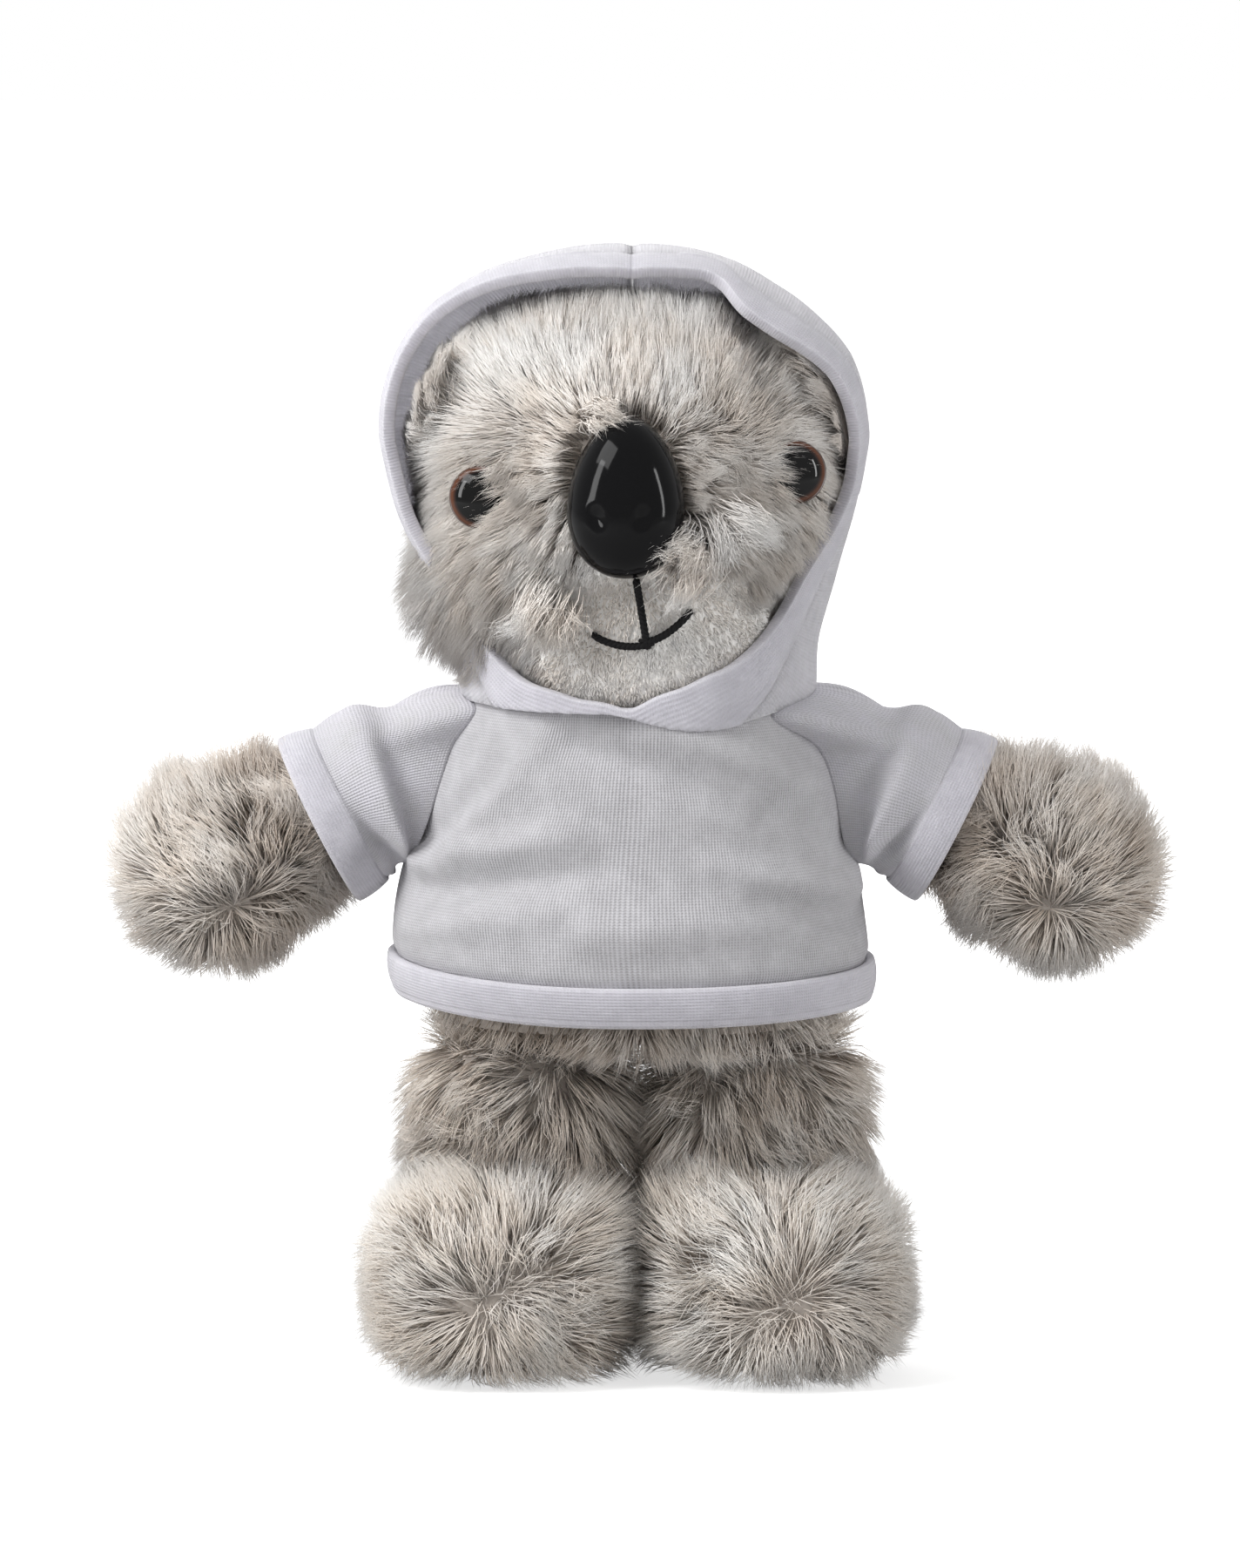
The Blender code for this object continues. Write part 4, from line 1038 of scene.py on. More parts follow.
def under_dome(points, wider=0.0):
    """Holds fur down to the outline that the camera sees over the forehead."""
    x, y, z = points.T
    seen = z + math.sin(CAMERA_ELEVATION) * (y + 0.010) - DOME_MIDDLE[1]
    across = x - DOME_MIDDLE[0]
    out = (np.abs(across) / (DOME_HALF[0] + wider)) ** DOME_ROUND
    out += (np.maximum(seen, 0) / (DOME_HALF[1] + wider)) ** DOME_ROUND
    out = np.maximum(out, 1e-6) ** (1 / DOME_ROUND)
    shrink = np.where((out > 1) & (seen > 0), (1 + 0.4 * (out - 1)) / out, 1)
    shrink = 1 + (shrink - 1) * ramp(seen, 0, 0.010)
    lowered = points.copy()
    lowered[:, 0] = DOME_MIDDLE[0] + across * shrink
    lowered[:, 2] = z - seen * (1 - shrink)
    lowered[:, 1] += 0.0085 * crease(points) * (y < 0)
    return lowered


def part_of_face(test):
    """The density of the face's fur where a test keeps it."""
    return lambda places: in_face(places) * test(places)


FOREHEAD = HEAD_MIDDLE + 0.020
for name, count, hold, test, seed in (
    ("forehead_fur", 18600, 0.42, lambda p: p[:, 2] >= FOREHEAD, 1),
    ("left_cheek_fur", 17800, 0.58, lambda p: (p[:, 2] < FOREHEAD) & (p[:, 0] >= 0), 2),
    ("right_cheek_fur", 18600, 0.58, lambda p: (p[:, 2] < FOREHEAD) & (p[:, 0] < 0), 3),
):
    grow_fur(
        name, head_skin, "head", head_fur, "head_fur", count, part_of_face(test),
        head_style, seed, lock=0.0022, hold=hold, keep=inside_hood,
    )

# Pale tufts that fall over the nose's top and side: (x, z), size, lean and length
TUFTS = (
    ((-0.0068, 0.1806), 0.0018, (0.85, -0.30, -0.40), 0.0115),
    ((0.0092, 0.1590), 0.0028, (-0.80, -0.20, -0.45), 0.0105),
    ((0.0145, 0.1630), 0.0026, (0.60, -0.20, -0.75), 0.0105),
    ((-0.0145, 0.1500), 0.0026, (-0.20, -0.30, -0.85), 0.0110),
)


def make_tufts():
    """Longer locks that start above the skin and curl over the nose."""

    def near(places):
        share = np.zeros(len(places))
        for (x, z), size, _, _ in TUFTS:
            share += bump(places[:, 0], x, size) * bump(places[:, 2], z, size)
        return share * (places[:, 1] < -0.01)

    def style(places, normals):
        flow = np.zeros(places.shape)
        reach = np.zeros(len(places))
        nearest = np.full(len(places), 1.0)
        for (x, z), _, lean, length in TUFTS:
            off = np.hypot(places[:, 0] - x, places[:, 2] - z)
            flow[off < nearest] = lean
            reach[off < nearest] = length
            nearest = np.minimum(nearest, off)
        rise, lie, tone = even(places, 0.75, 0.2, 0.95)
        return (flow, reach, rise, lie), tone

    grow_fur(
        "nose_tufts", head_skin, "head", head_fur, "head_fur", 2200, near, style, 8,
        steps=4, lock=0.0019, hold=0.6, jitter=(0.45, 0.3), curl=0.08, lift=0.0042,
    )


make_tufts()


def make_chin():
    """The white patch under the nose, with its short curly pile."""
    patch = copy_of(head_skin, "chin_patch_skin")
    patch.parent = None
    apply_modifier(patch, "DISPLACE", strength=0.0026, mid_level=0, direction="NORMAL")
    apply_modifier(patch, "SUBSURF", levels=1, render_levels=1)
    co = points_of(patch)
    off = np.where(co[:, 1] < -0.010, patch_share(co, 0.001), 9.0)
    keep_faces(patch, face_means(patch, off) < 1)
    grow_pile(patch)
    thicken(patch, 0.0028)
    dress(patch, white_backing, "white_pile", "head")
    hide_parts("chin_patch")
    return patch


def grow_pile(patch):
    """The short curly pile of the chin, on its skin while that is still one layer."""

    def style(places, normals):
        flow = away_from(nose_front, places, normals)
        reach, rise, lie, tone = even(places, 0.0020, 0.3, 0.0, 0.95)
        return (flow, reach, rise, lie), tone

    grow_fur(
        "chin_pile", patch, "head", white_pile, "white_pile", 6000, everywhere, style, 4,
        lock=0.0016, hold=0.3, thick=0.00013, jitter=(0.7, 0.5), curl=0.08,
    )


chin = make_chin()
face_layers = [
    BVHTree.FromObject(thing, bpy.context.evaluated_depsgraph_get())
    for thing in (chin, head_skin)
]


def on_chin(x, z):
    """A point just in front of the chin's patch, or of the head's skin past its edge."""
    forward = Vector((x, -1, z))
    hits = [layer.ray_cast(forward, Vector((0, 1, 0)))[0] for layer in face_layers]
    return Vector((x, min(hit.y for hit in hits if hit) - 0.0008, z))


def ear_style(side, centre):
    """The left ear's fur runs forwards and up, and the right one's outwards and up."""
    lean, length = ((0, -0.9, 0.7), 0.0115) if side > 0 else ((-0.8, 0, 0.6), 0.0085)

    def style(places, normals):
        flow = away_from(centre, places, normals) * 0.5
        flow += direction(*lean, places)
        flow[:, 0] -= side * 0.3
        reach, rise, lie = even(places, length, 0.6, 0.45)
        tone = 0.62 + 0.22 * waves(places)[:, 0]
        return (flow, reach, rise, lie), tone

    return style


def ear_keep(side):
    """The left ear's tuft fills the hood up to its edge, and the right one lies lower."""

    def keep(points):
        points = under_dome(points, 0.0045 if side > 0 else -0.002)
        way, over = beyond_hood(points, EAR_ROOM)
        return points - way * over[:, None]

    return keep


for side, label in SIDES:
    low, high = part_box(label + "_ear")
    ear = skin(label + "_ear_skin", label + "_ear", 0.0030, grey_backing, "head_fur", "head")
    centre = (low + high) / 2
    grow_fur(
        label + "_ear_fur", ear, "head", head_fur, "head_fur", 3600,
        lambda places: (places[:, 1] < -0.003).astype(float),
        ear_style(side, (centre.x, low.y, low.z)), 5 + side, lock=0.0034, hold=0.62,
        jitter=(0.75, 0.35), keep=ear_keep(side),
    )


# Body, arms, legs and feet


torso_skin = skin("torso_skin", "torso", 0.005, grey_backing, "body_fur", "torso", "torso_stuffing")


def fringe_style(places, normals):
    """The fringe below the hem hangs down, paler on the koala's left."""
    flow = direction(0, 0, -1, places)
    flow[:, 0] = 0.35 * np.sign(places[:, 0])
    flow += 0.4 * waves(places)
    light = ramp(places[:, 0], 0.002, 0.012) * (places[:, 1] < 0)
    reach = 0.0070 + 0.0030 * light + 0.0030 * bump(places[:, 0], 0, 0.007)
    tone = 0.36 + 0.55 * light
    rise, lie = even(places, 0.55, 0.35)
    return (flow, reach, rise, lie), tone


grow_fur(
    "seat_fur", torso_skin, "torso", leg_fur, "body_fur", 6200,
    lambda places: (places[:, 2] < 0.079) * (0.35 + 1.65 * bump(places[:, 0], 0, 0.010)),
    fringe_style, 9,
)


def arm_place(side, t, forward=0.0):
    """A point on the arm's line, or in front of it."""
    return Vector(
        (
            side * (SHOULDER[0] + t * math.cos(ARM_DROOP)),
            -forward,
            SHOULDER[1] - t * math.sin(ARM_DROOP),
        )
    )


# The parting of each paw's fur, by its places along the arm and its drop below the arm
PARTINGS = {1: (0.044, 0.0560, 0.0080), -1: (0.036, 0.0520, 0.0090)}


def arm_style(side):
    """Fur runs up and down from a parting across the paw's front, long on its upper side."""
    line, up = arm_line(side), arm_up(side)
    start = np.array(arm_place(side, 0))
    near, far, drop = PARTINGS[side]
    whorl = np.array(arm_place(side, far, 0.019)) - np.array((0, 0, drop))
    inner = np.array(arm_place(side, near, 0.019)) - np.array((0, 0, drop + 0.002))

    def style(places, normals):
        t = (places - start) @ line
        share = np.clip((places - inner) @ (whorl - inner) / np.sum((whorl - inner) ** 2), 0, 1)
        middle = inner + share[:, None] * (whorl - inner)
        off = places - middle
        distance = np.linalg.norm(off, axis=1)
        flow = unit(off - normals * (off * normals).sum(1, keepdims=True))
        paw = ramp(t, 0.030, 0.044)
        upper = ramp((places - start) @ up, -0.002, 0.010)
        flow *= ramp(distance, 0, 0.006)[:, None]
        at_cuff = 1 - ramp(t, CUFF_END - 0.001, CUFF_END + 0.008)
        flow += direction(*line, places) * (0.25 + 0.2 * (1 - paw) + 0.9 * at_cuff)[:, None]
        rising = (0.7 * upper - 0.25 * (1 - upper)) * (1 - at_cuff)
        flow += direction(0, 0, 1, places) * rising[:, None] + 0.4 * waves(places)
        reach = 0.0105 + 0.0015 * paw + 0.0025 * upper * (1 - at_cuff)
        centre = bump(distance, 0, 0.004)
        flat = bump(distance, 0, 0.014)
        rise = 0.58 - 0.08 * paw + 0.10 * upper - 0.16 * flat - 0.2 * at_cuff
        lie = 0.22 - 0.04 * paw + 0.14 * upper - 0.12 * flat + 0.1 * centre
        tone = 0.25 + 0.36 * paw + 0.12 * np.sin(150 * places[:, 0] + 90 * places[:, 2])
        tone += 0.2 * centre
        return (flow, reach, rise, lie), tone

    def shown(places):
        return ((places - start) @ line > CUFF_END - 0.0055).astype(float)

    return style, shown


for side, label in SIDES:
    arm = skin(
        label + "_arm_skin", label + "_arm", 0.0050, grey_backing, "body_fur",
        label + "_arm", label + "_arm_stuffing",
    )
    style, shown = arm_style(side)
    grow_fur(
        label + "_paw_fur", arm, label + "_arm", body_fur, "body_fur", 14400,
        shown, style, 20 + side, lock=0.0031, hold=0.44, thick=0.000136, jitter=(0.50, 0.30),
    )


def leg_style(side):
    """Fur hangs down and outwards on a leg, and leans to the gap between the legs there."""

    def style(places, normals):
        flow = direction(side * 0.55, -0.05, -0.80, places) + 0.45 * waves(places)
        inner = ramp(-side * places[:, 0], -0.024, -0.006)
        flow[:, 0] -= side * (0.55 + 0.5 * ramp(places[:, 2], 0.060, 0.072)) * inner
        reach = 0.0115 + 0.002 * inner
        # The leg is painted darker towards the hem and on its inner side, as painted shade under
        # the shirt and between the legs
        tone = 0.66 - 0.12 * ramp(places[:, 2], 0.052, 0.066) - 0.10 * inner
        rise, lie = even(places, 0.5, 0.40)
        return (flow, reach, rise, lie), tone

    return style


def foot_style(side):
    """Fur runs out all round from a whorl in the middle of the toe."""
    middle = (FOOT_LOW + FOOT_HIGH) / 2
    whorl = (side * middle.x, FOOT_LOW.y + 0.004, 0.0165)

    def style(places, normals):
        distance = np.linalg.norm(places - np.array(whorl), axis=1)
        flow = away_from(whorl, places, normals) * ramp(distance, 0, 0.007)[:, None]
        flow += 0.45 * waves(places)
        upper = ramp(places[:, 2], 0.018, 0.032)
        low = 1 - ramp(places[:, 2], 0.001, 0.012)
        inner = ramp(0.020 - side * places[:, 0], 0, 0.008) * (1 - low)
        flow += direction(side * 0.1, 0, 0.25, places) * upper[:, None]
        reach = 0.0120 + 0.0012 * upper - 0.0035 * low + 0.0020 * inner
        centre = bump(distance, 0, 0.004)
        flat = bump(distance, 0, 0.015)
        rise = 0.50 + 0.04 * upper + 0.15 * inner - 0.16 * flat
        lie = 0.20 + 0.10 * upper - 0.08 * low + 0.12 * inner - 0.14 * flat + 0.1 * centre
        tone = 0.60 + 0.1 * upper + 0.12 * np.sin(170 * places[:, 0] - 120 * places[:, 2])
        # The inner side, towards the other foot, is painted darker, as painted shade between the
        # feet
        tone += 0.2 * flat - 0.2 * inner
        return (flow, reach, rise, lie), tone

    return style


def sole_style(places, normals):
    """Short pile, pressed flat, that runs forwards under the foot."""
    flow = direction(0, -1, 0, places) + 0.4 * waves(places)
    reach, rise, lie, tone = even(places, 0.0062, 0.35, 0.45, 0.55)
    return (flow, reach, rise, lie), tone


for side, label in SIDES:
    leg = skin(
        label + "_leg_skin", label + "_leg", 0.0036, grey_backing, "leg_fur",
        label + "_leg", label + "_leg_stuffing",
    )
    grow_fur(
        label + "_leg_fur", leg, label + "_leg", leg_fur, "leg_fur", 9800,
        lambda places: ((places[:, 2] > 0.033) & (places[:, 2] < 0.082)).astype(float),
        leg_style(side), 30 + side,
    )
    foot = skin(
        label + "_foot_skin", label + "_foot", 0.0050, grey_backing, "foot_fur",
        label + "_leg", label + "_foot_stuffing",
    )
    grow_fur(
        label + "_foot_fur", foot, label + "_leg", foot_fur, "foot_fur", 15000,
        lambda places: (places[:, 2] > 0.006).astype(float), foot_style(side),
        40 + side, lock=0.0034, hold=0.44, thick=0.000136, jitter=(0.52, 0.30),
    )
    grow_fur(
        label + "_sole_fur", foot, label + "_leg", foot_fur, "foot_fur", 2400,
        lambda places: (places[:, 2] <= 0.0065).astype(float), sole_style, 50 + side,
        thick=0.00016,
    )


# Shirt


def shirt_sizes(z):
    sizes = smooth_through(SHIRT_STATIONS, z)
    return sizes[:, 0], sizes[:, 1]


def shirt_point(turn, z, proud=0.0):
    """Points on the outside of the shirt by their turn from the koala's left side."""
    half_width, half_depth = shirt_sizes(z)
    x, y = oval(turn, SHIRT_ROUND)
    shift = -0.0016 * bump(z, 0.088, 0.018)
    return np.stack(((half_width + proud) * x + shift, (half_depth + proud) * y, z), axis=1)


# Folds of the shirt, in millimetres: the two ends of each as (x, z), its half width and its
# height, which is below 0 for a furrow
FOLDS = (
    ((-39.5, 101.0), (-25.0, 116.5), 2.4, -2.6),
    ((-33.0, 104.0), (-18.0, 121.5), 3.2, 2.0),
    ((-12.0, 122.0), (20.0, 110.5), 3.6, -2.2),
    ((25.0, 107.5), (39.5, 98.0), 3.0, -2.0),
    ((4.0, 125.0), (31.0, 113.0), 3.2, 1.8),
    ((-40.5, 98.5), (-12.0, 105.0), 3.0, 2.4),
    ((-40.0, 92.0), (-8.0, 98.0), 3.0, -2.0),
    ((40.0, 96.5), (25.0, 107.5), 2.4, 2.0),
    ((40.5, 92.5), (14.0, 99.0), 3.0, 2.2),
    ((42.0, 87.0), (22.0, 91.5), 2.6, -1.6),
    ((-42.0, 85.5), (-18.0, 90.0), 3.4, 1.4),
    ((-8.0, 86.0), (28.0, 88.5), 4.2, 1.4),
)


def shirt_folds(points):
    """Soft folds that run from the armpits over the chest and the back."""
    x, y, z = points.T
    swell = np.zeros(len(points))
    for (x1, z1), (x2, z2), wide, high in FOLDS:
        span_x, span_z = (x2 - x1) / 1000, (z2 - z1) / 1000
        for away, side in ((-y, 1), (y, -1)):
            off_x, off_z = side * x - x1 / 1000, z - z1 / 1000
            share = (off_x * span_x + off_z * span_z) / (span_x**2 + span_z**2)
            share = np.clip(share, 0, 1)
            off = np.hypot(off_x - share * span_x, off_z - share * span_z)
            fade = (1 - 0.6 * share**2) * ramp(away, 0.002, 0.014)
            swell += high / 1000 * fade * bump(off, 0, wide / 1000)
    return swell


def hem_height(turn, z):
    """Lowers a height near the hem in front, and a little on the koala's left."""
    lower = HEM_SAG * np.maximum(-np.sin(turn), 0) ** 2 + 0.0014 * np.maximum(np.cos(turn), 0) ** 2
    return z - lower * (1 - ramp(z, HEM_TOP, NECK))


# The sleeves' seams from the armpit to the shoulder: how far round the shirt each lies, in
# degrees, and its heights
SEAM_TURNS = {1: (0, 16, 20, 20, 24, 44, 0), -1: (0, 14, 19, 20, 20, 26, 0)}
SEAM_HEIGHTS = (0.0955, 0.0975, 0.1035, 0.111, 0.119, 0.1262, 0.1292)


def seam_point(side, turn):
    """The sleeve's seam on the shirt, by the turn from the armpit, which is 0, over the
    front, below 0, or the back to the shoulder."""
    places = np.linspace(0, math.pi, len(SEAM_HEIGHTS))
    turn_stations = np.stack((places, np.radians(SEAM_TURNS[side])), axis=1)
    height_stations = np.stack((places, np.array(SEAM_HEIGHTS)), axis=1)
    out = smooth_through(turn_stations, np.abs(turn))[:, 0]
    z = smooth_through(height_stations, np.abs(turn))[:, 0]
    around = np.sign(turn) * out
    around = around if side > 0 else math.pi - around
    return shirt_point(around, z, 0.0)


def shirt_halves():
    """The front and the back of the shirt, cut away where the sleeves take over."""
    thing, turn, share = tube("shirt", 192, 84)
    top = NECK - 0.0002
    z = HEM_TOP - 0.0006 + (top - HEM_TOP) * share
    z = hem_height(turn, z)
    points = shirt_point(turn, z)
    swell = shirt_folds(points) - 0.0008 * bump(share, 0, 0.03)
    points = points + unit(points * (1, 1, 0)) * swell[:, None]
    put_points(thing, points)
    around = turn * SHIRT_RADIUS
    set_map(thing, "knit", around, z, math.tau * SHIRT_RADIUS)
    x, y, z = points.T
    under_sleeve = np.zeros(len(points))
    for side in (1, -1):
        edge = seam_point(side, np.linspace(0, math.pi, 40))
        seam_x = np.interp(z, edge[:, 2], np.abs(edge[:, 0]))
        under_sleeve += (side * x > seam_x + 0.0012) & (z > edge[0, 2] + 0.0045)
    kept = face_means(thing, under_sleeve) < 0.5
    ahead = face_means(thing, y) < 0
    for name, half in (("shirt_front", ahead), ("shirt_back", ~ahead)):
        panel = copy_of(thing, name + "_cloth")
        keep_faces(panel, kept & half)
        thicken(panel, JERSEY)
        dress(panel, jersey, "white_jersey", "torso")
        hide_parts(name)
    bpy.data.objects.remove(thing)


def make_hem():
    """The folded band along the shirt's lower edge."""
    band, turn, share = tube("hem_band_cloth", 192, 8)
    z = HEM_BOTTOM + (HEM_TOP - HEM_BOTTOM) * share
    z = hem_height(turn, z)
    body = 4 * share * (1 - share)
    points = shirt_point(turn, z, 0.0009)
    points += unit(points * (1, 1, 0)) * (0.5 * shirt_folds(points) + 0.0006 * body)[:, None]
    put_points(band, points)
    down = (1 - share) * (HEM_TOP - HEM_BOTTOM)
    set_map(band, "knit", turn * SHIRT_RADIUS, down, math.tau * SHIRT_RADIUS)
    thicken(band, BAND_WALL, 1)
    dress(band, band_jersey, "folded_jersey", "torso")
    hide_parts("hem_band")


def make_sleeve(side, label):
    """A sleeve from its raglan seam to the cuff, with folds that fan out of the armpit."""
    sleeve, turn, share = tube(label + "_sleeve_cloth", 120, 40)
    first = seam_point(side, turn)
    line, up = arm_line(side), arm_up(side)
    middle = np.array(arm_place(side, CUFF_START + 0.0012))
    radius = arm_radius(CUFF_START)[0] + CUFF_ROOM
    height = -np.cos(turn)[:, None]
    depth = np.sin(turn)[:, None]
    last = middle + up * radius * height + BACKWARDS * radius * depth
    shoulder = ramp(-np.cos(turn), -0.6, 0.9)[:, None]
    start = np.array((side, 0, 0)) * (0.010 + 0.018 * shoulder)
    start = start + BACKWARDS * 0.006 * depth
    end = line * (0.008 + 0.014 * shoulder)
    s = share[:, None]
    points = (
        first * (2 * s**3 - 3 * s**2 + 1)
        + last * (3 * s**2 - 2 * s**3)
        + start * (s**3 - 2 * s**2 + s)
        + end * (s**3 - s**2)
    )
    armpit = np.array((side * 0.0405, 0, 0.0935))
    off = points - armpit
    fan = np.arctan2(off[:, 2], side * off[:, 0])
    distance = np.hypot(off[:, 0], off[:, 2])
    strength = ramp(distance, 0.003, 0.010) * (1 - ramp(distance, 0.030, 0.042))
    strength = strength * 4 * share * (1 - share)
    outward = unit(points - (middle - line * 0.008 + line * 0.016 * s))
    fold = 0.0021 * np.sin(7.5 * fan + 0.6 * np.sign(depth[:, 0])) + 0.0008 * np.sin(13 * fan)
    points += outward * (fold * strength)[:, None]
    put_points(sleeve, points)
    set_map(sleeve, "knit", turn * SLEEVE_RADIUS, share * 0.024, math.tau * SLEEVE_RADIUS)
    thicken(sleeve, JERSEY)
    dress(sleeve, sleeve_jersey, "white_jersey")
    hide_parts(label + "_sleeve")
    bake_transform(sleeve)


def make_cuff(side, label):
    """A folded band round the end of a sleeve."""
    cuff, turn, share = tube(label + "_cuff_cloth", 120, 8)
    t = CUFF_START + 0.0004 + (CUFF_END - CUFF_START) * share
    body = 4 * share * (1 - share)
    radius = arm_radius(t) + CUFF_ROOM + 0.0005 * body
    points = (
        np.array(arm_place(side, 0))
        + arm_line(side) * t[:, None]
        + arm_up(side) * (radius * np.cos(turn))[:, None]
        + BACKWARDS * (radius * np.sin(turn))[:, None]
    )
    put_points(cuff, points)
    around = (turn + math.pi) * CUFF_RADIUS
    set_map(cuff, "knit", around, share * (CUFF_END - CUFF_START), math.tau * CUFF_RADIUS)
    thicken(cuff, BAND_WALL, 1)
    dress(cuff, band_jersey, "folded_jersey", label + "_arm")
    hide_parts(label + "_cuff")


shirt_halves()
make_hem()
for side, label in SIDES:
    make_sleeve(side, label)
    make_cuff(side, label)


# Hood


def neckline(points):
    """The height of the seam between the hood and the shirt, which dips in front."""
    x, y, _ = points.T
    ahead = ramp(-y, 0, 0.02)
    dip = 0.0034 * bump(x, 0.012, 0.013) - 0.0006 * bump(x, -0.0044, 0.005)
    return 0.1277 - ahead * dip


def hood_form():
    """The whole outside of the hood, from its edge to the back of the head."""
    nothing_selected()
    rows = 72
    bpy.ops.mesh.primitive_uv_sphere_add(segments=176, ring_count=rows, radius=1)
    form = named("hood")
    co = points_of(form)
    turn = np.arctan2(co[:, 0], co[:, 1])
    row = np.arccos(np.clip(co[:, 2], -1, 1)) / math.pi * rows
    edge = rim_angle(turn)
    share = np.clip((row - 1) / (rows - 1), 0, 1) ** 1.5
    angle = edge + (math.pi - edge) * share
    way = np.stack(
        (np.sin(angle) * np.sin(turn), -np.cos(angle), np.sin(angle) * np.cos(turn)), axis=1
    )
    points = hood_surface(way, turn)
    from_rim = (angle - edge) * HOOD_RADIUS
    seam = bump(from_rim, RIM_BAND - 0.0010, 0.0007)
    for aside, shown in ((turn, 1), (math.pi - np.abs(turn), angle > math.radians(100))):
        seam += bump(aside * HOOD_RADIUS, 0, 0.0011) * shown
    points -= unit(points - HOOD_ORIGIN) * (0.0006 * seam)[:, None]
    put_points(form, points)
    set_map(form, "knit", turn * HOOD_RADIUS, from_rim, math.tau * HOOD_RADIUS)
    form.data.attributes.new("from_edge", "FLOAT", "POINT")
    form.data.attributes["from_edge"].data.foreach_set("value", from_rim)
    keep_faces(form, face_means(form, (row < 0.5).astype(float)) == 0)
    return form


def lower_cut(thing):
    """Cuts a hood piece off along the neckline: the seam is straightened, cut and bent back."""
    points = points_of(thing)
    line = neckline(points)
    points[:, 2] -= line
    put_points(thing, points)
    choose(thing)
    bpy.ops.object.mode_set(mode="EDIT")
    bpy.ops.mesh.select_all(action="SELECT")
    bpy.ops.mesh.bisect(plane_co=(0, 0, 0), plane_no=(0, 0, 1), clear_inner=True)
    bpy.ops.object.mode_set(mode="OBJECT")
    points = points_of(thing)
    points[:, 2] += neckline(points)
    put_points(thing, points)


def from_edge(thing):
    """At each vertex the way along the hood from its front edge."""
    values = np.empty(len(thing.data.vertices), np.float32)
    thing.data.attributes["from_edge"].data.foreach_get("value", values)
    return values


def make_hood():
    """The two panels of the hood and the folded band along its front edge."""
    form = hood_form()
    far = face_means(form, from_edge(form))
    middle_x = face_means(form, points_of(form)[:, 0])
    on_left = middle_x > HOOD_AXIS[0]
    band = copy_of(form, "hood_edge_band_cloth")
    keep_faces(band, far < RIM_BAND)
    lower_cut(band)
    points = points_of(band)
    points += unit(points - HOOD_ORIGIN) * 0.0006
    put_points(band, points)
    thicken(band, RIM_WALL, 1)
    dress(band, band_jersey, "folded_jersey")
    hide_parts("hood_edge_band")
    pieces = [band]
    for label, half in (("left", on_left), ("right", ~on_left)):
        panel = copy_of(form, f"hood_{label}_cloth")
        keep_faces(panel, (far > RIM_BAND - 0.0014) & half)
        lower_cut(panel)
        thicken(panel, JERSEY)
        dress(panel, hood_jersey, "white_jersey")
        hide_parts(f"hood_{label}_panel")
        pieces.append(panel)
    for piece in pieces:
        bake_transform(piece)
    bpy.data.objects.remove(form)


make_hood()


# Nose, eyes and mouth


def make_nose():
    """A polished egg, narrower at its top, with two curled nostrils."""
    nothing_selected()
    bpy.ops.mesh.primitive_uv_sphere_add(segments=96, ring_count=64, radius=1)
    nose = named("nose_button")
    co = points_of(nose)
    x, y, z = co[:, 0], co[:, 1], co[:, 2]
    narrow = 1 - NOSE_NARROWING * y
    across = x * NOSE_WIDTH / 2 * narrow
    upward = y * NOSE_HEIGHT / 2
    front = z > 0
    out = np.where(front, NOSE_DOME * np.maximum(z, 0) ** 0.9, NOSE_BACK * z)
    out = out - NOSE_SET_BACK
    for side in (1, -1):
        dx = side * (across + 0.0006) - NOSTRIL[0]
        dy = upward - NOSTRIL[1]
        leant_x, leant_y = 0.94 * dx - 0.34 * dy, 0.34 * dx + 0.94 * dy
        hole = bump(leant_x, 0, NOSTRIL_HALF[0]) * bump(leant_y, 0, NOSTRIL_HALF[1])
        out = out - front * NOSTRIL_DEPTH * hole
    put_points(nose, np.stack((across, upward, out), axis=1))
    nose.data.transform(face_frame(*NOSE_MIDDLE, NOSE_HEIGHT / 2))
    nose.data.shade_smooth()
    dress(nose, nose_material(), "nose_black", "head")
    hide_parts("nose")


def make_eye(side, label):
    """A domed safety eye with a thin turned rim round its pupil."""
    nothing_selected()
    bpy.ops.mesh.primitive_uv_sphere_add(segments=64, ring_count=48, radius=1)
    eye = named(label + "_eye_dome")
    co = points_of(eye)
    out = np.hypot(co[:, 0], co[:, 1])
    z = np.where(co[:, 2] > 0, co[:, 2] * EYE_DOME, co[:, 2] * EYE_BACK)
    z = z + EYE_RIM * bump(out, 0.93, 0.05) - EYE_SET_BACK
    points = np.stack((co[:, 0] * EYE_RADIUS, co[:, 1] * EYE_RADIUS, z), axis=1)
    put_points(eye, points)
    set_map(eye, "ring", out, co[:, 2])
    frame_at = face_frame(side * EYE_X, HEAD_MIDDLE + EYE_LIFTS[label], EYE_RADIUS / 2)
    place = frame_at.to_translation()
    forward = Matrix.Rotation(-side * EYE_TURN, 4, "Z")
    turned = Matrix.Translation(place) @ forward @ Matrix.Translation(-place) @ frame_at
    eye.data.transform(turned)
    eye.data.shade_smooth()
    dress(eye, eye_gloss, "eye_gloss", "head")
    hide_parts(label + "_eye")


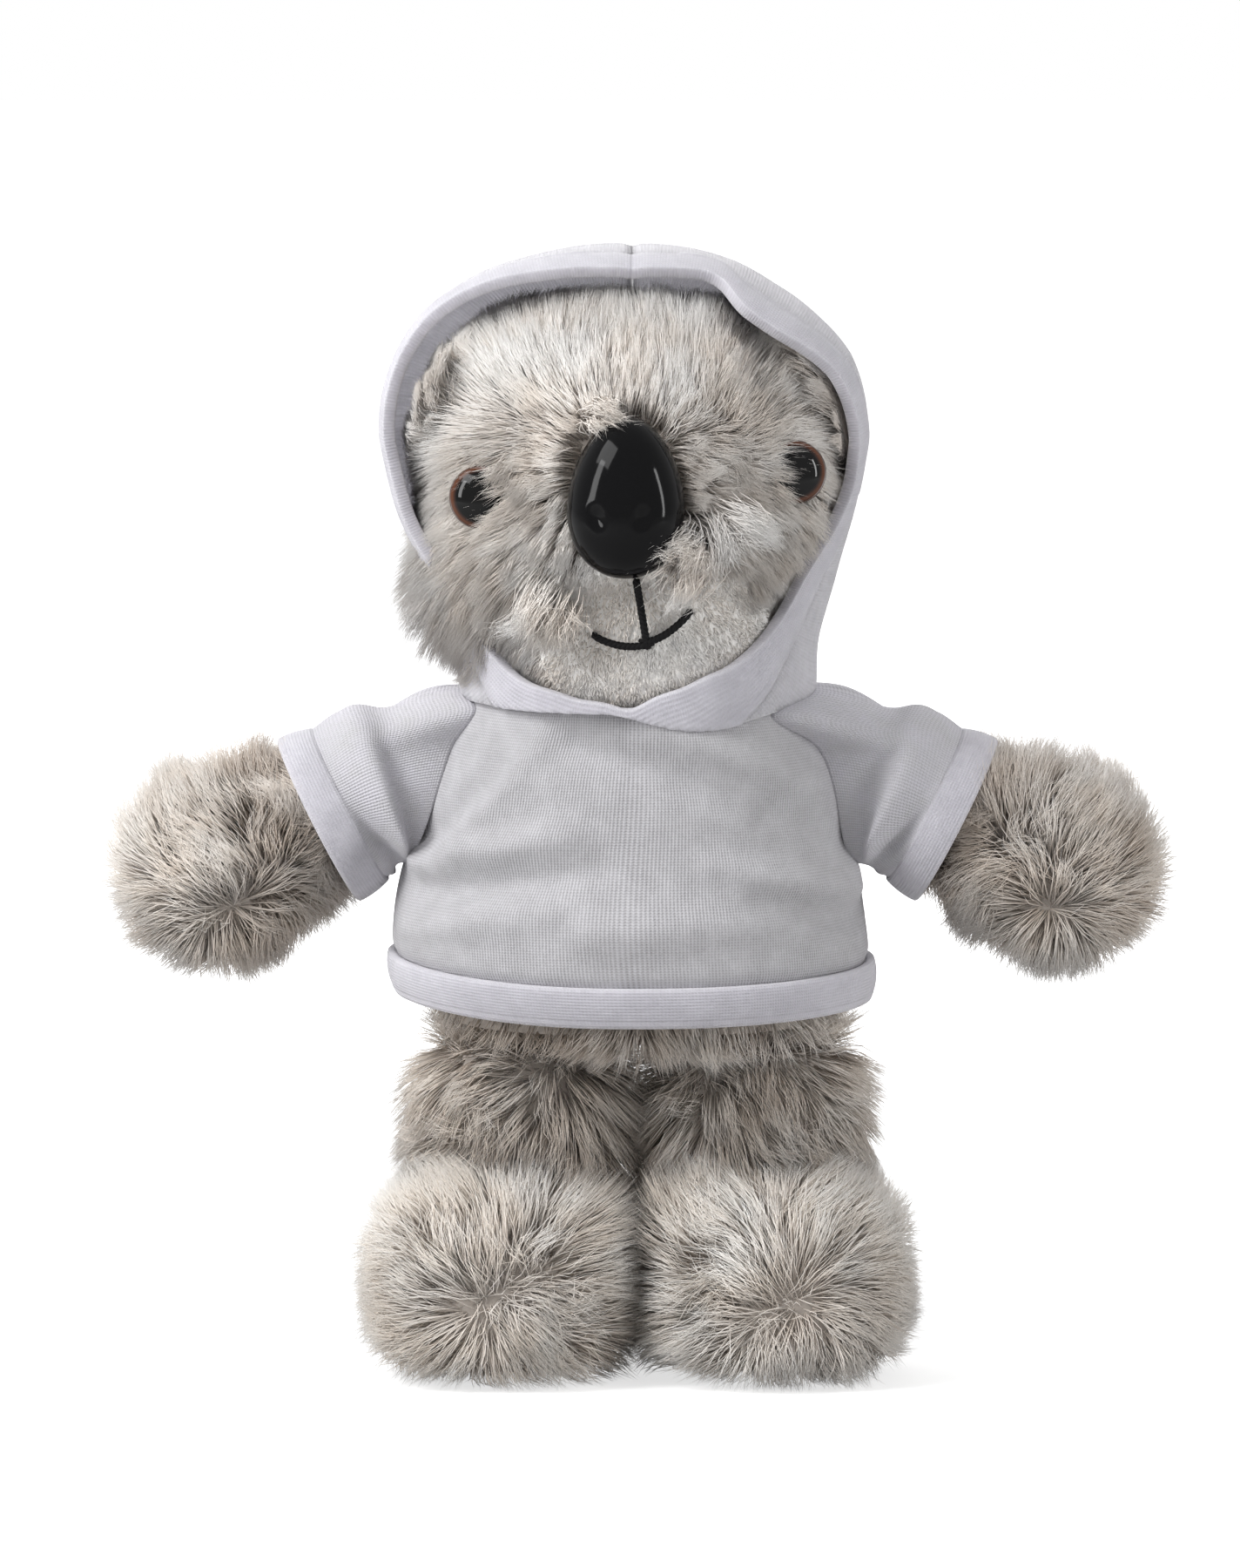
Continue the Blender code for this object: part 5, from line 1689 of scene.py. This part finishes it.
def make_stitch(name, start, end, sag):
    """A thread of three plies twisted round each other, which lies on the chin's pile."""
    nothing_selected()
    curve = bpy.data.curves.new(name, "CURVE")
    curve.dimensions = "3D"
    curve.bevel_depth = THREAD
    curve.bevel_resolution = 2
    curve.use_fill_caps = True
    steps, plies = 48, 3
    length = math.hypot(end[0] - start[0], end[1] - start[1])
    across = Vector((start[1] - end[1], 0, end[0] - start[0])).normalized()
    for ply in range(plies):
        spline = curve.splines.new("POLY")
        spline.points.add(steps)
        for i, point in enumerate(spline.points):
            share = i / steps
            x = start[0] + (end[0] - start[0]) * share
            rise = start[1] + (end[1] - start[1]) * share - 4 * sag * share * (1 - share)
            turn = math.tau * (length * share / PLY_PITCH + ply / plies)
            place = on_chin(x, HEAD_MIDDLE + rise)
            ends = min(share, 1 - share)
            place.y -= 0.0012 - 0.0016 * math.exp(-ends / 0.04)
            place += across * PLY_OFF * math.cos(turn)
            place.y += PLY_OFF * math.sin(turn)
            point.co = (*place, 1)
    made = bpy.data.objects.new(name, curve)
    bpy.context.scene.collection.objects.link(made)
    choose(made)
    bpy.ops.object.convert(target="MESH")
    made = bpy.context.object
    made.name = name
    made.data.shade_smooth()
    return dress(made, black_thread, "black_thread", "head")


def make_mouth():
    """One upright stitch, and two curved ones that start at its lower end."""
    x, rise = MOUTH_KNOT
    upright = make_stitch("upright_stitch", MOUTH_TOP, (x, rise - 0.0010), 0)
    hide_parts("mouth_upright")
    for name, end, aside in (
        ("left", MOUTH_LEFT_END, -0.0012),
        ("right", MOUTH_RIGHT_END, 0.0010),
    ):
        stitch = make_stitch(name + "_smile_stitch", (x + aside, rise), end, MOUTH_SAG)
        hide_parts("mouth_" + name)


make_nose()
eye_gloss = eye_material()
for side, label in SIDES:
    make_eye(side, label)
make_mouth()
clip_plastic = clip_material()
for node in ("nose_washer", "left_eye_washer", "right_eye_washer"):
    bpy.data.objects[node].material_slots[0].material = clip_plastic


# Floor, light and camera

WORLD_LIGHT = 0.33


def make_floor():
    """A pale floor that shows the koala's shadow near it and is plain white further off."""
    nothing_selected()
    bpy.ops.mesh.primitive_plane_add(size=6, location=(0, 0, 0))
    floor = named("floor")
    made = Nodes("pale_floor")
    path = made.tree.nodes.new("ShaderNodeLightPath")
    seen = made.math("MAXIMUM", path.outputs["Is Camera Ray"], path.outputs["Is Glossy Ray"])
    seen = made.math("MAXIMUM", seen, path.outputs["Is Transmission Ray"])
    far = made.tree.nodes.new("ShaderNodeVectorMath")
    far.operation = "LENGTH"
    made.put(far.inputs[0], made.place())
    away = made.add("MapRange", far.outputs["Value"], 0.12, 0.75, 0.70, 1.0)
    speckle = made.noise(30, 2)
    colour = made.blend(speckle, (0.48, 0.48, 0.48, 1), (0.50, 0.50, 0.50, 1))
    made.finish(colour, 0.9, Specular_IOR_Level=0.0)
    made.put(made.shader.inputs["Emission Color"], (1, 1, 1, 1))
    glow = made.math("MULTIPLY", seen, away)
    made.put(made.shader.inputs["Emission Strength"], glow)
    floor.data.materials.append(made.material)


def make_light(name, place, size, power):
    light = bpy.data.lights.new(name, "AREA")
    light.shape = "RECTANGLE"
    light.size, light.size_y = size
    light.energy = power
    lamp = bpy.data.objects.new(name, light)
    lamp.location = place
    turn = (VIEW_MIDDLE - Vector(place)).to_track_quat("-Z", "Y")
    lamp.rotation_euler = turn.to_euler()
    bpy.context.scene.collection.objects.link(lamp)


def make_world():
    """White where it is seen or mirrored, and dimmer as a light on the koala."""
    world = bpy.data.worlds.new("pale_studio")
    world.use_nodes = True
    bpy.context.scene.world = world
    tree = world.node_tree
    background = tree.nodes["Background"]
    path = tree.nodes.new("ShaderNodeLightPath")
    strength = tree.nodes.new("ShaderNodeMix")
    strength.inputs["A"].default_value = WORLD_LIGHT
    strength.inputs["B"].default_value = 1.0
    seen = path.outputs["Is Camera Ray"]
    for ray in ("Is Glossy Ray", "Is Transmission Ray"):
        either = tree.nodes.new("ShaderNodeMath")
        either.operation = "MAXIMUM"
        tree.links.new(seen, either.inputs[0])
        tree.links.new(path.outputs[ray], either.inputs[1])
        seen = either.outputs[0]
    tree.links.new(seen, strength.inputs["Factor"])
    tree.links.new(strength.outputs["Result"], background.inputs["Strength"])
    background.inputs["Color"].default_value = (1, 1, 1, 1)


def make_camera():
    camera_data = bpy.data.cameras.new("camera")
    camera = bpy.data.objects.new("camera", camera_data)
    bpy.context.scene.collection.objects.link(camera)
    c, s = math.cos(CAMERA_ELEVATION), math.sin(CAMERA_ELEVATION)
    camera.location = VIEW_MIDDLE + CAMERA_DISTANCE * Vector((0, -c, s))
    camera.rotation_euler = (math.pi / 2 - CAMERA_ELEVATION, 0, 0)
    camera_data.lens = camera_data.sensor_width * CAMERA_DISTANCE / VIEW_HEIGHT
    bpy.context.scene.camera = camera


make_floor()
make_light("left_soft_box", (-1.02, -0.58, 0.62), (0.26, 0.85), 9.5)
make_light("right_soft_box", (1.12, -0.56, 0.50), (0.12, 0.85), 6.5)
make_light("top_soft_box", (-0.72, -0.42, 1.08), (0.7, 0.5), 9.0)
make_light("rear_soft_box", (-0.15, 0.98, 0.62), (0.9, 0.6), 7.0)
make_world()
make_camera()
bpy.context.scene.view_settings.view_transform = "Standard"
